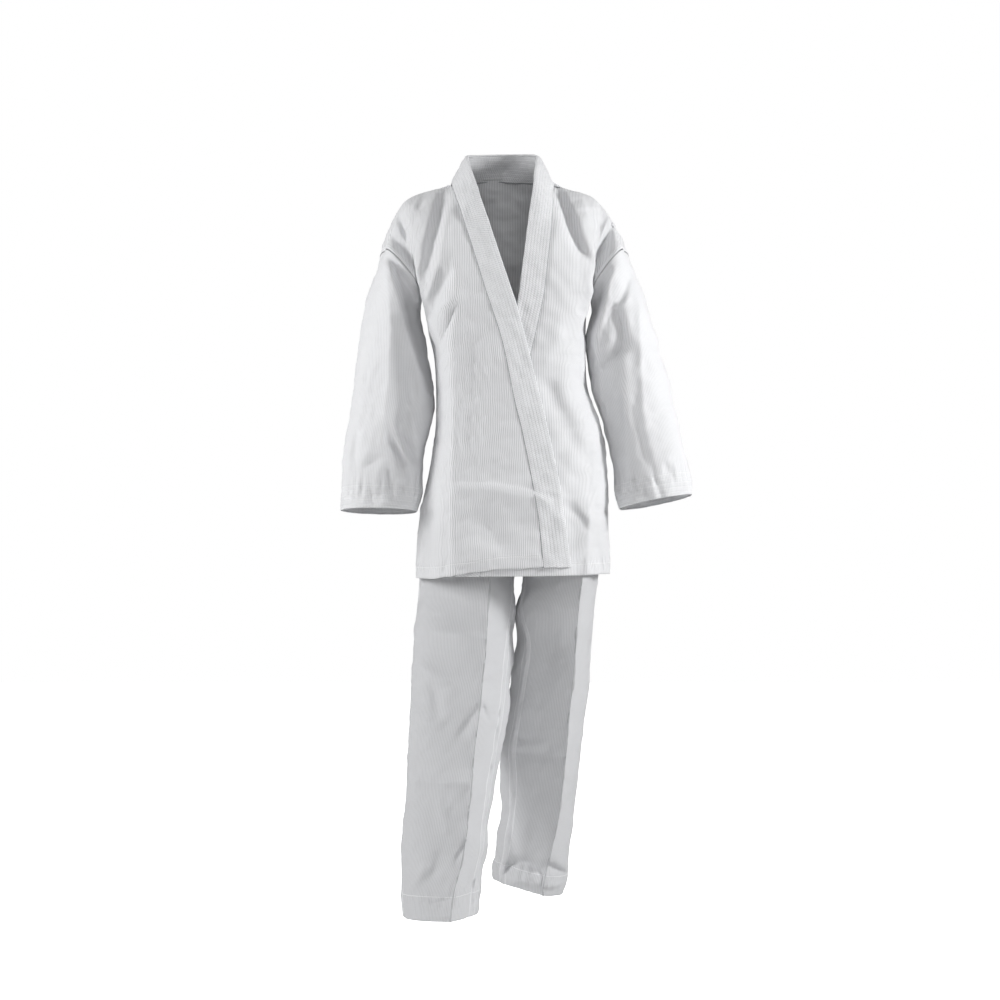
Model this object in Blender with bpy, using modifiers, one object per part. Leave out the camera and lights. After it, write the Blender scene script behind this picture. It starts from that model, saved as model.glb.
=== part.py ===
"""Karate gi: a wrapped jacket and straight trousers in white ribbed cotton, in the hollow form that they take when worn.

The frame: x runs to the wearer's left, y to the wearer's back, z up. The origin is between the shoulders, at the
height where the collar band leaves the shoulder seams. "Right" and "left" in names are the wearer's.
"""
import bpy
from math import asin, cos, exp, pi, radians, sin
from mathutils import Vector

# Driving sizes, in metres.
WALL = 0.0013            # one panel of cloth with its ease
BAND_WALL = 0.0036       # the collar band, folded over several layers
BAND_PROUD = 0.0012      # how far the band stands above the panels that it edges
SEAM_GAP = 0.0003        # between two pieces at a seam
TRIM = 0.00045           # what each of two panels stops short of a seam where they meet at a slight angle
LEG_TRIM = 0.0007        # the same at the seams of the legs, which are sharper
ARMHOLE_START = 0.0085   # the share of a sleeve that its seam with the dropped shoulder takes
STAND_GAP = 0.0016       # added to it where the collar band stands up at an angle to the panels
WRAP_LIFT = 0.0052       # how far the right front lies above the left front
ARMPIT = -0.183          # height of the armpits
ARMPIT_TUCK = 0.018      # how far the cloth is drawn in below each armpit
FRONT_HOLLOW = 0.010     # how deep the front sinks between the chest and the arm
CAP_BULGE = 0.008        # how far the dropped shoulder stands out behind its seam
NECK_BACK = Vector((0.002, 0.095, 0.0265))      # seam of the collar band, centre back
COLLAR_BACK = Vector((0.002, 0.074, 0.0665))    # free edge of the collar band, centre back
SECTION_POWER = 0.80     # below 1 the torso's sections are squarer than an ellipse
VENT_TOP = -0.585        # the side seams are open below this height
VENT_GAP = 0.006         # width of a side vent at the hem
CROTCH = -0.578          # height of the fork of the trousers
LEG_TOP = -0.600         # the legs are tubes up to this height
HIP = -0.500
WAIST = -0.312
BAND_TOP = -0.272        # top of the waistband
TROUSER_CENTRE = 0.024   # the centre seams, measured across

# Counts of strips in the solids.
FRONT_STRIPS = 14        # across a front, and across a shoulder of the back
NECK_STRIPS = 3          # across half the back neck
LOWER_ROWS = 12          # hem to armpit
YOKE_ROWS = 9            # armpit to shoulder seam; a sleeve has twice as many strips round it
SLEEVE_ROWS = 13
LEG_STRIPS = 10          # across each leg panel
LEG_ROWS = 14
CROTCH_ROWS = 4
HIP_ROWS = 4

# Sections of the jacket's body: height, right edge, left edge, depth in front, depth behind.
TORSO_SECTIONS = (
    (-0.668, -0.142, 0.185, 0.132, 0.136),
    (-0.600, -0.140, 0.184, 0.131, 0.137),
    (-0.545, -0.133, 0.183, 0.129, 0.136),
    (-0.490, -0.121, 0.181, 0.128, 0.133),
    (-0.413, -0.108, 0.172, 0.125, 0.128),
    (-0.345, -0.107, 0.149, 0.122, 0.124),
    (-0.290, -0.113, 0.147, 0.120, 0.124),
    (-0.243, -0.131, 0.154, 0.119, 0.126),
    (-0.183, -0.149, 0.170, 0.117, 0.127),
)

# The two edges of the collar band on each front: height, seam with the front, free edge.
RIGHT_BAND = (
    (-0.640, 0.0692, 0.1150),
    (-0.570, 0.0626, 0.1063),
    (-0.499, 0.0511, 0.0955),
    (-0.418, 0.0350, 0.0791),
    (-0.369, 0.0231, 0.0672),
    (-0.272, 0.0033, 0.0437),
    (-0.206, -0.0173, 0.0264),
    (-0.183, -0.0250, 0.0187),
)
LEFT_BAND = (
    (-0.655, -0.0313, -0.0741),
    (-0.296, 0.0502, 0.0060),
    (-0.206, 0.0708, 0.0280),
    (-0.183, 0.0750, 0.0320),
)

# Each side of the yoke: the neck end of the shoulder seam, the shoulder point, the lower end of the seam where the
# dropped shoulder ends, the top of the collar band at the side of the neck, and how far the armhole bows forward
# and backward.
YOKES = {
    "right": {
        "side": -1,
        "neck": Vector((-0.083, 0.008, 0.004)),
        "shoulder": Vector((-0.163, 0.005, -0.0255)),
        "drop": Vector((-0.194, -0.015, -0.110)),
        "collar": Vector((-0.0585, 0.012, 0.0550)),
        "forward": 0.056,
        "backward": 0.072,
        "hem": (-0.643, -0.664),
        "band": RIGHT_BAND,
    },
    "left": {
        "side": 1,
        "neck": Vector((0.0935, 0.008, 0.005)),
        "shoulder": Vector((0.170, 0.005, -0.0290)),
        "drop": Vector((0.2090, -0.015, -0.110)),
        "collar": Vector((0.0630, 0.012, 0.0545)),
        "forward": 0.056,
        "backward": 0.072,
        "hem": (-0.658, -0.656),
        "band": LEFT_BAND,
    },
}

# Sections of each sleeve below the armhole: share of its length, height, outer edge, inner edge, centre front to
# back, half depth, how much higher the inner edge is, how much higher the front is.
SLEEVE_SECTIONS = {
    "right": (
        (0.25, -0.205, -0.225, -0.1350, 0.002, 0.070, -0.020, 0.000),
        (0.42, -0.277, -0.2395, -0.1225, 0.000, 0.067, -0.006, 0.002),
        (0.62, -0.362, -0.2515, -0.1130, -0.010, 0.060, -0.002, 0.004),
        (0.80, -0.447, -0.2625, -0.1270, -0.020, 0.054, -0.001, 0.006),
        (0.94, -0.523, -0.2670, -0.1330, -0.030, 0.048, 0.000, 0.006),
        (1.00, -0.551, -0.2665, -0.1395, -0.034, 0.045, -0.001, 0.006),
    ),
    "left": (
        (0.25, -0.205, 0.244, 0.156, 0.002, 0.070, -0.020, 0.000),
        (0.42, -0.277, 0.2700, 0.1515, 0.000, 0.067, -0.008, 0.002),
        (0.62, -0.362, 0.2910, 0.1670, -0.010, 0.060, -0.010, 0.004),
        (0.80, -0.447, 0.3090, 0.1865, -0.020, 0.054, -0.011, 0.006),
        (0.94, -0.510, 0.3220, 0.1950, -0.030, 0.048, -0.012, 0.006),
        (1.00, -0.536, 0.3245, 0.1985, -0.034, 0.045, -0.012, 0.006),
    ),
}

# Sections of each leg: height, outer edge, inner edge, centre front to back, front crease, half depth.
LEG_SECTIONS = {
    "right": (
        (-1.216, -0.1600, -0.0363, -0.118, -0.0810, 0.075),
        (-1.168, -0.1628, -0.0306, -0.108, -0.0745, 0.075),
        (-1.118, -0.1626, -0.0232, -0.095, -0.0600, 0.077),
        (-1.045, -0.1583, -0.0142, -0.080, -0.0510, 0.080),
        (-0.960, -0.1540, 0.0015, -0.062, -0.0430, 0.084),
        (-0.883, -0.1510, 0.0145, -0.045, -0.0345, 0.088),
        (-0.782, -0.1460, 0.0230, -0.022, -0.0235, 0.094),
        (-0.722, -0.1415, 0.0245, -0.010, -0.0207, 0.098),
        (-0.661, -0.1365, 0.0230, 0.000, -0.0166, 0.101),
        (-0.600, -0.1340, 0.0245, 0.000, -0.0120, 0.104),
    ),
    "left": (
        (-1.213, 0.1094, -0.0123, 0.148, 0.0745, 0.075),
        (-1.190, 0.1161, -0.0123, 0.138, 0.0759, 0.075),
        (-1.145, 0.1208, -0.0079, 0.120, 0.0858, 0.076),
        (-1.074, 0.1289, 0.0000, 0.100, 0.0997, 0.078),
        (-1.011, 0.1353, 0.0010, 0.080, 0.1068, 0.080),
        (-0.954, 0.1410, -0.0015, 0.065, 0.1122, 0.083),
        (-0.897, 0.1460, 0.0090, 0.050, 0.1167, 0.086),
        (-0.818, 0.1540, 0.0215, 0.030, 0.1236, 0.091),
        (-0.771, 0.1570, 0.0280, 0.020, 0.1274, 0.095),
        (-0.722, 0.1602, 0.0262, 0.010, 0.1296, 0.098),
        (-0.661, 0.1657, 0.0391, 0.000, 0.1359, 0.101),
        (-0.600, 0.1660, 0.0310, 0.000, 0.1330, 0.104),
    ),
}


# The hem of each leg slopes: where across it lies at its own height, and its rise to the left.
HEM_SLOPES = {"right": (-0.098, 0.066), "left": (0.054, -0.217)}


def slope(rows, i, column):
    """The rise of one column of a table at a row, from its neighbours."""
    low = rows[max(i - 1, 0)]
    high = rows[min(i + 1, len(rows) - 1)]
    return (high[column] - low[column]) / (high[0] - low[0])


def read_table(rows, at):
    """The columns of a table at any place along its first column, on a smooth curve through the rows."""
    last = len(rows) - 2
    i = min(max(sum(at >= row[0] for row in rows) - 1, 0), last)
    low, high = rows[i], rows[i + 1]
    span = high[0] - low[0]
    s = (at - low[0]) / span
    values = []
    for column in range(1, len(low)):
        start = (2 * s ** 3 - 3 * s ** 2 + 1) * low[column] + (s ** 3 - 2 * s ** 2 + s) * span * slope(rows, i, column)
        end = (3 * s ** 2 - 2 * s ** 3) * high[column] + (s ** 3 - s ** 2) * span * slope(rows, i + 1, column)
        values.append(start + end)
    return values


def ramp(value, low, high):
    """0 below low, 1 above high, and smooth between."""
    s = min(max((value - low) / (high - low), 0.0), 1.0)
    return s * s * (3 - 2 * s)


def signed_power(value, power):
    return abs(value) ** power * (1 if value >= 0 else -1)


# Jacket body.


def torso_point(height, angle):
    """A point of the body's section: angle 0 is centre front, 90 degrees the left side, 180 centre back."""
    right, left, front, back = read_table(TORSO_SECTIONS, height)
    across = (left + right) / 2 + (left - right) / 2 * signed_power(sin(angle), SECTION_POWER)
    depth = signed_power(cos(angle), SECTION_POWER)
    tuck = ARMPIT_TUCK * exp(-((height - ARMPIT) / 0.075) ** 2) * ramp(abs(sin(angle)), 0.88, 0.995)
    return Vector((across - tuck * (1 if sin(angle) > 0 else -1), -depth * (front if depth > 0 else back), height))


def front_angle(height, across):
    """The angle at which the front of a section reaches a place across it."""
    right, left, _, _ = read_table(TORSO_SECTIONS, height)
    share = (across - (left + right) / 2) / ((left - right) / 2)
    return asin(signed_power(share, 1 / SECTION_POWER))


def seam_break(yoke):
    """The share of the shoulder seam that lies between the neck and the shoulder point."""
    inner = (yoke["shoulder"] - yoke["neck"]).length
    return inner / (inner + (yoke["drop"] - yoke["shoulder"]).length)


def shoulder_seam(yoke, share):
    """A point of the shoulder seam, from the neck over the shoulder point to the end of the dropped shoulder."""
    turn = seam_break(yoke)
    rows = ((0.0, *yoke["neck"]), (turn, *yoke["shoulder"]), (1.0, *yoke["drop"]))
    return Vector(read_table(rows, share))


def armhole(yoke, turn):
    """The armhole: turn 0 is the armpit, half a turn over the front the end of the shoulder seam, and on behind."""
    pit = torso_point(ARMPIT, radians(90) * yoke["side"])
    centre = (pit + yoke["drop"]) / 2
    reach = yoke["forward"] if sin(turn) >= 0 else yoke["backward"]
    outward, upward = (0.0, 0.2) if sin(turn) >= 0 else (0.42, 0.0)
    bow = Vector((-yoke["side"] * outward, -0.93, upward)) * reach
    return centre + (pit - yoke["drop"]) / 2 * cos(turn) + bow * sin(turn)


def strip_angle(yoke, share, start, end):
    """The angle on a section of the body that belongs to a share of the shoulder seam."""
    turn = seam_break(yoke)
    middle = start + (end - start) * 0.74
    if share < turn:
        return start + (middle - start) * share / turn
    return middle + (end - middle) * (share - turn) / (1 - turn)


def over_shoulder(start, end, rise, roll):
    """A strip's way from the armpit level to the shoulder seam. Roll 1 rounds it like a quarter ellipse."""
    up = roll * sin(rise * pi / 2) + (1 - roll) * rise
    back = roll * (1 - cos(rise * pi / 2)) + (1 - roll) * rise ** 2
    return Vector((
        start.x + (end.x - start.x) * up,
        start.y + (end.y - start.y) * back,
        start.z + (end.z - start.z) * up,
    ))


def yoke_point(yoke, start, end, share, rise, roll, face):
    """A point above the armpits. Beyond the shoulder point the strips bend to the armhole."""
    point = over_shoulder(start, end, rise, roll)
    beyond = max(0.0, (share - seam_break(yoke)) / (1 - seam_break(yoke)))
    if beyond == 0:
        return point
    pit = torso_point(ARMPIT, radians(90) * yoke["side"])
    edge = armhole(yoke, face * pi * rise)
    shift = edge - over_shoulder(pit, yoke["drop"], rise, roll)
    weight = beyond ** 1.3
    middle = sin(pi * rise) * 4 * beyond * (1 - beyond)
    if face > 0:
        return point + shift * weight + Vector((0, FRONT_HOLLOW * middle, 0))
    return point + shift * weight + Vector((yoke["side"] * CAP_BULGE * middle, 0, 0))


def row_height(yoke, level, share):
    """The height of a point on a row: level -1 is the hem, 0 the armpit. The hem rises to the collar band."""
    inner, outer = yoke["hem"]
    hem = inner + (outer - inner) * ramp(share, 0.0, 0.45)
    return ARMPIT + (ARMPIT - hem) * level


def levels():
    """The rows of a body panel: below 0 from the hem to the armpit, above 0 from there to the shoulder seam."""
    return [-1 + i / LOWER_ROWS for i in range(LOWER_ROWS)] + [i / YOKE_ROWS for i in range(YOKE_ROWS + 1)]


def vent(height):
    """Half the width of the side vent, which opens below the end of the side seam."""
    return VENT_GAP / 2 * ramp(-height, -VENT_TOP, -VENT_TOP + 0.07)


def trimmed(row, at_start, at_end):
    """A row whose ends are drawn back along it by these lengths, to leave the seams open by a hair."""
    row = list(row)
    row[0] = row[0] + (row[1] - row[0]).normalized() * at_start
    row[-1] = row[-1] + (row[-2] - row[-1]).normalized() * at_end
    return row


def front_rows(name):
    """The outer surface of a front, row by row from the hem, each row from the collar band to the side."""
    yoke = YOKES[name]
    side = yoke["side"]
    rows = []
    for level in levels():
        row = []
        for i in range(FRONT_STRIPS + 1):
            share = i / FRONT_STRIPS
            height = row_height(yoke, min(level, 0), share)
            seam_x = read_table(yoke["band"], height)[0]
            start = front_angle(height, seam_x) * side
            angle = strip_angle(yoke, share, start, radians(90)) * side
            point = torso_point(height, angle)
            if i == FRONT_STRIPS:
                point.y -= vent(height)
            if level > 0:
                end = shoulder_seam(yoke, share) - Vector((0, TRIM, 0))
                point = yoke_point(yoke, point, end, share, level, 1.0, 1)
            row.append(point)
        rows.append(trimmed(row, 0.0, TRIM))
    return rows


def back_half_rows(name):
    """The outer surface of half the back, each row from the centre to the side."""
    yoke = YOKES[name]
    side = yoke["side"]
    count = NECK_STRIPS + FRONT_STRIPS
    rows = []
    for level in levels():
        row = []
        for i in range(count + 1):
            share = max(0.0, (i - NECK_STRIPS) / FRONT_STRIPS)
            height = row_height(yoke, min(level, 0), 1.0)
            neck_angle = radians(148)
            if i <= NECK_STRIPS:
                angle = radians(180) + (neck_angle - radians(180)) * i / NECK_STRIPS
            else:
                angle = strip_angle(yoke, share, neck_angle, radians(90))
            point = torso_point(height, angle * side)
            if i == count:
                point.y += vent(height)
            if level > 0:
                if i < NECK_STRIPS:
                    end = neck_seam(yoke, i / NECK_STRIPS)
                else:
                    end = shoulder_seam(yoke, share) + Vector((0, TRIM, 0))
                roll = 0.25 + 0.75 * ramp(i / count, 0.0, 0.25)
                point = yoke_point(yoke, point, end, share, level, roll, -1)
            row.append(point)
        rows.append(trimmed(row, 0.0, TRIM))
    return rows


def back_rows():
    """The outer surface of the back, each row from the right side to the left."""
    right = back_half_rows("right")
    left = back_half_rows("left")
    rows = []
    for r, l in zip(right, left):
        middle = (r[0] + l[0]) / 2
        rows.append(list(reversed(r[1:])) + [middle] + l[1:])
    return rows


def neck_arc(yoke, share, side_point, back_point):
    """From centre back, share 0, round to the side of the neck, share 1."""
    turn = share * pi / 2
    return Vector((
        back_point.x + (side_point.x - back_point.x) * sin(turn),
        side_point.y + (back_point.y - side_point.y) * cos(turn),
        side_point.z + (back_point.z - side_point.z) * cos(turn),
    ))


def neck_seam(yoke, share):
    return neck_arc(yoke, share, yoke["neck"], NECK_BACK)


# Sleeves.


def ring_columns(station, centre, inward, forward, backward):
    return (station, *centre, *inward, *forward, *backward)


def sleeve_ring_table(name):
    """Each sleeve as rings: station, centre, and the ways to the inner edge, to the front and to the back."""
    yoke = YOKES[name]
    pit = armhole(yoke, 0.0)
    centre = (pit + yoke["drop"]) / 2
    forward = armhole(yoke, pi / 2) - centre
    backward = armhole(yoke, -pi / 2) - centre
    rows = [ring_columns(0.0, centre, (pit - yoke["drop"]) / 2, forward, backward)]
    for station, height, outer, inner, middle_y, depth, inner_up, front_up in SLEEVE_SECTIONS[name]:
        rows.append(ring_columns(
            station,
            ((outer + inner) / 2, middle_y, height),
            ((inner - outer) / 2, 0.0, inner_up),
            (0.0, -depth, front_up),
            (0.0, depth, -front_up),
        ))
    return rows


def sleeve_rows(name):
    """The outer surface of a sleeve, ring by ring from the armhole to the cuff."""
    table = sleeve_ring_table(name)
    strips = 2 * YOKE_ROWS
    rows = []
    for k in range(SLEEVE_ROWS + 1):
        station = ARMHOLE_START + (1 - ARMHOLE_START) * (k / SLEEVE_ROWS) ** 1.1
        values = read_table(table, station)
        centre, inward, forward, backward = (Vector(values[i:i + 3]) for i in (0, 3, 6, 9))
        ring = []
        for j in range(strips):
            turn = 2 * pi * j / strips
            reach = forward * sin(turn) if turn <= pi else backward * -sin(turn)
            ring.append(centre + inward * cos(turn) + reach)
        rows.append(ring)
    return rows


# Collar band.


def band_stations():
    """The two edges of the collar band, from the right hem round the neck to the left hem."""
    lines = []
    for name in ("right", "left"):
        yoke = YOKES[name]
        line = []
        for level in levels():
            height = row_height(yoke, min(level, 0), 0.0)
            seam_x, free_x = read_table(yoke["band"], height)
            angles = [front_angle(height, x) for x in (seam_x, (seam_x + free_x) / 2, free_x)]
            points = [torso_point(height, angle) for angle in angles]
            if level > 0:
                ends = (yoke["neck"], (yoke["neck"] + yoke["collar"]) / 2, yoke["collar"])
                points = [over_shoulder(p, e, level, 1.0) for p, e in zip(points, ends)]
            line.append(clear_of_seam(points, SEAM_GAP + STAND_GAP * ramp(level, 0.1, 0.8)))
        for i in range(1, NECK_STRIPS + (name == "right")):
            share = 1 - i / NECK_STRIPS
            seam = neck_seam(yoke, share)
            free = neck_arc(yoke, share, yoke["collar"], COLLAR_BACK)
            line.append(clear_of_seam([seam, (seam + free) / 2, free], SEAM_GAP + STAND_GAP))
        lines.append(line)
    return lines[0] + list(reversed(lines[1]))


def clear_of_seam(points, gap):
    """A line across the band, with its seam end drawn back by the gap."""
    seam, middle, free = points
    return [seam + (middle - seam).normalized() * gap, middle, free]


# Trousers.


def leg_point(name, height, turn):
    """A point of a leg's section. Turn 0 is the front crease, 90 degrees the outer edge, -90 the inner edge."""
    outer, inner, middle_y, crease, depth = read_table(LEG_SECTIONS[name], height)
    back_crease = (outer + inner) / 2
    along = (1 - cos(turn)) / 2
    spine = crease + (back_crease - crease) * along
    edge = outer if turn >= 0 else inner
    across = spine + (edge - spine) * sin(turn) ** 2
    level_at, rise = HEM_SLOPES[name]
    hem = LEG_SECTIONS[name][0][0]
    lean = (across - level_at) * rise * (1 - ramp(height, hem, hem + 0.12))
    return Vector((across, middle_y - depth * cos(turn), height + lean))


def hip_point(name, height, turn):
    """A point of the section round the hips. Turn 0 is centre front, 180 degrees centre back."""
    rows = ((WAIST, 0.112, 0.092, 0.092), (-0.40, 0.128, 0.100, 0.106), (HIP, 0.143, 0.110, 0.118))
    half, front, back = read_table(tuple(reversed(rows)), height)
    side = -1 if name == "right" else 1
    depth = signed_power(cos(turn), 0.9)
    return Vector((
        TROUSER_CENTRE + side * (SEAM_GAP / 2 + half * abs(sin(turn)) ** 0.9),
        -depth * (front if depth > 0 else back),
        height,
    ))


def leg_turns(height, face):
    """The turns at which a panel's outer seam and inner seam lie on a leg's section."""
    inseam = radians(62 + 28 * ramp(height, -0.80, LEG_TOP))
    outseam = radians(95)
    if face > 0:
        return outseam, 0.0, -inseam
    return outseam, pi, 2 * pi - inseam


def leg_row(name, height, face):
    outer, crease, inner = leg_turns(height, face)
    half = LEG_STRIPS // 2
    row = []
    for i in range(LEG_STRIPS + 1):
        if i <= half:
            turn = outer + (crease - outer) * i / half
        else:
            turn = crease + (inner - crease) * (i - half) / half
        if turn > pi:
            turn -= 2 * pi
        row.append(leg_point(name, height, turn))
    return row


def hip_row(name, height, face):
    row = []
    for i in range(LEG_STRIPS + 1):
        front_turn = radians(95) * (1 - i / LEG_STRIPS)
        back_turn = radians(95) + radians(85) * i / LEG_STRIPS
        row.append(hip_point(name, height, front_turn if face > 0 else back_turn))
    return row


def trouser_rows(name, face):
    """The outer surface of a leg panel from hem to waist. Face 1 is the front, -1 the back."""
    hem = LEG_SECTIONS[name][0][0]
    rows = [leg_row(name, hem + (LEG_TOP - hem) * i / LEG_ROWS, face) for i in range(LEG_ROWS + 1)]
    low = rows[-1]
    high = hip_row(name, HIP, face)
    side = -1 if name == "right" else 1
    for k in range(1, CROTCH_ROWS + 1):
        share = k / CROTCH_ROWS
        turn = share * pi / 2
        fork = Vector((
            TROUSER_CENTRE + side * SEAM_GAP / 2,
            high[-1].y * sin(turn),
            CROTCH + (HIP - CROTCH) * (1 - cos(turn)),
        ))
        row = []
        for i in range(LEG_STRIPS + 1):
            point = low[i].lerp(high[i], share)
            pull = (i / LEG_STRIPS) ** 3
            row.append(point + (fork - low[-1].lerp(high[-1], share)) * pull)
        rows.append(row)
    for k in range(1, HIP_ROWS + 1):
        rows.append(hip_row(name, HIP + (WAIST - HIP) * k / HIP_ROWS, face))
    return [trimmed(row, LEG_TRIM, LEG_TRIM) for row in rows]


def waistband_rows():
    rows = []
    for height in (WAIST + SEAM_GAP, (WAIST + BAND_TOP) / 2, BAND_TOP):
        ring = []
        for j in range(24):
            turn = 2 * pi * j / 24
            ring.append(Vector((TROUSER_CENTRE + 0.112 * sin(turn), -0.092 * cos(turn), height)))
        rows.append(ring)
    return rows


# Folds. Each is a curve over the front view, or the back view for the back, with a half width and a rise along the
# surface's normal; below 0 it is a trough. Columns: start x, start z, bend x, bend z, end x, end z, half width, rise.
CHEST_FOLDS = (
    (-0.092, -0.020, -0.112, -0.070, -0.126, -0.165, 0.016, -0.010),
    (-0.084, -0.124, -0.100, -0.150, -0.121, -0.185, 0.014, 0.006),
    (0.099, -0.015, 0.112, -0.085, 0.152, -0.150, 0.017, -0.013),
    (0.138, -0.050, 0.152, -0.110, 0.158, -0.190, 0.013, 0.007),
    (-0.130, -0.560, -0.126, -0.610, -0.124, -0.670, 0.018, -0.012),
    (-0.075, -0.300, -0.076, -0.480, -0.076, -0.680, 0.022, 0.005),
    (0.141, -0.540, 0.143, -0.600, 0.142, -0.660, 0.020, 0.004),
)
BACK_FOLDS = (
    (-0.128, -0.120, -0.096, -0.230, -0.080, -0.360, 0.024, -0.008),
    (0.140, -0.120, 0.112, -0.240, 0.098, -0.380, 0.024, -0.008),
    (-0.020, -0.080, -0.012, -0.200, -0.024, -0.330, 0.030, -0.005),
    (0.070, -0.420, 0.076, -0.540, 0.066, -0.660, 0.026, -0.006),
    (-0.056, -0.430, -0.066, -0.540, -0.060, -0.660, 0.026, -0.006),
)
SLEEVE_FOLDS = {
    "right": (
        (-0.186, -0.130, -0.172, -0.165, -0.160, -0.210, 0.020, -0.008),
        (-0.194, -0.160, -0.182, -0.240, -0.142, -0.330, 0.020, 0.006),
        (-0.240, -0.370, -0.200, -0.400, -0.160, -0.440, 0.024, 0.006),
        (-0.190, -0.400, -0.172, -0.440, -0.160, -0.490, 0.020, -0.006),
    ),
    "left": (
        (0.178, -0.230, 0.190, -0.255, 0.214, -0.275, 0.024, -0.008),
        (0.224, -0.140, 0.228, -0.210, 0.216, -0.290, 0.020, 0.005),
        (0.250, -0.360, 0.220, -0.400, 0.190, -0.430, 0.024, 0.006),
    ),
}
LEG_FOLDS = {
    "right": (
        (-0.090, -0.760, -0.066, -0.756, -0.030, -0.762, 0.034, -0.004),
        (-0.105, -0.885, -0.070, -0.876, -0.030, -0.884, 0.034, -0.004),
        (-0.147, -1.000, -0.080, -1.008, -0.010, -0.998, 0.036, -0.004),
    ),
    "left": (
        (0.008, -0.950, 0.090, -0.986, 0.136, -0.962, 0.036, -0.005),
        (0.060, -0.760, 0.100, -0.780, 0.140, -0.770, 0.036, -0.004),
    ),
}


def bezier(start, bend, end, s):
    return start * (1 - s) ** 2 + bend * 2 * s * (1 - s) + end * s ** 2


def fold_rise(folds, x, z):
    """How far the folds of a table lift a point of the front view."""
    total = 0.0
    steps = 12
    for sx, sz, bx, bz, ex, ez, width, rise in folds:
        start, bend, end = Vector((sx, sz)), Vector((bx, bz)), Vector((ex, ez))
        nearest, place = min(
            ((bezier(start, bend, end, k / steps) - Vector((x, z))).length, k / steps) for k in range(steps + 1)
        )
        total += rise * sin(pi * min(max(0.12 + 0.76 * place, 0), 1)) * exp(-(nearest / width) ** 2)
    return total


def row_normals(rows, closed):
    """The outward normals of a grid of points whose rows run the same way round."""
    count = len(rows[0])
    normals = []
    for r in range(len(rows)):
        line = []
        for c in range(count):
            before = (c - 1) % count if closed else max(c - 1, 0)
            after = (c + 1) % count if closed else min(c + 1, count - 1)
            along = rows[r][after] - rows[r][before]
            up = rows[min(r + 1, len(rows) - 1)][c] - rows[max(r - 1, 0)][c]
            line.append(along.cross(up).normalized())
        normals.append(line)
    return normals


def lifted(rows, closed, lift):
    """The grid with every point moved out along its normal by lift(point, row, column)."""
    normals = row_normals(rows, closed)
    return [
        [p + normals[r][c] * lift(p, r, c) for c, p in enumerate(row)]
        for r, row in enumerate(rows)
    ]


def seam_fade(r, c, rows, side_column):
    """0 on the shoulder seam, the armhole and the side seam, 1 from two strips inside them."""
    return ramp(len(rows) - 1 - r, 0, 2) * ramp(abs(c - side_column), 0, 2)


def folded(rows, closed, folds, fade):
    """The grid with a table of folds pressed into it, faded by fade(row, column)."""
    return lifted(rows, closed, lambda p, r, c: fold_rise(folds, p.x, p.z) * fade(r, c))


def wrap_lift(point):
    """The right front rises where the left front lies under it."""
    return WRAP_LIFT * ramp(point.x, -0.118, -0.082) * ramp(-point.z, 0.10, 0.188)


def sheet_mesh(name, rows, closed, wall, material):
    """A panel or a tube: a grid of quads, given its thickness on the inner side by Solidify."""
    mesh = bpy.data.meshes.new(name)
    count = len(rows[0])
    points = [p for row in rows for p in row]
    faces = []
    for r in range(len(rows) - 1):
        for c in range(count if closed else count - 1):
            d = (c + 1) % count
            faces.append((r * count + c, r * count + d, (r + 1) * count + d, (r + 1) * count + c))
    mesh.from_pydata(points, [], faces)
    mesh.validate()
    mesh.shade_smooth()
    mesh.materials.append(material)
    piece = bpy.data.objects.new(name, mesh)
    thickness = piece.modifiers.new("Cloth", "SOLIDIFY")
    thickness.thickness = wall
    thickness.offset = -1.0
    thickness.use_even_offset = True
    thickness.use_rim = True
    return piece


def sleeve_front(name, c, half):
    """1 along the front of a sleeve, 0 from its inner and outer edges round behind it."""
    turn = c if name == "right" else 2 * half - 1 - c
    return max(0.0, sin(pi * turn / half)) ** 0.6 if turn < half else 0.0


def cloth(name, colour, roughness):
    material = bpy.data.materials.new(name)
    material.use_nodes = True
    shader = material.node_tree.nodes["Principled BSDF"]
    shader.inputs["Base Color"].default_value = (*colour, 1.0)
    shader.inputs["Roughness"].default_value = roughness
    shader.inputs["Metallic"].default_value = 0.0
    return material


def reversed_rows(rows):
    return [list(reversed(row)) for row in rows]


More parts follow.
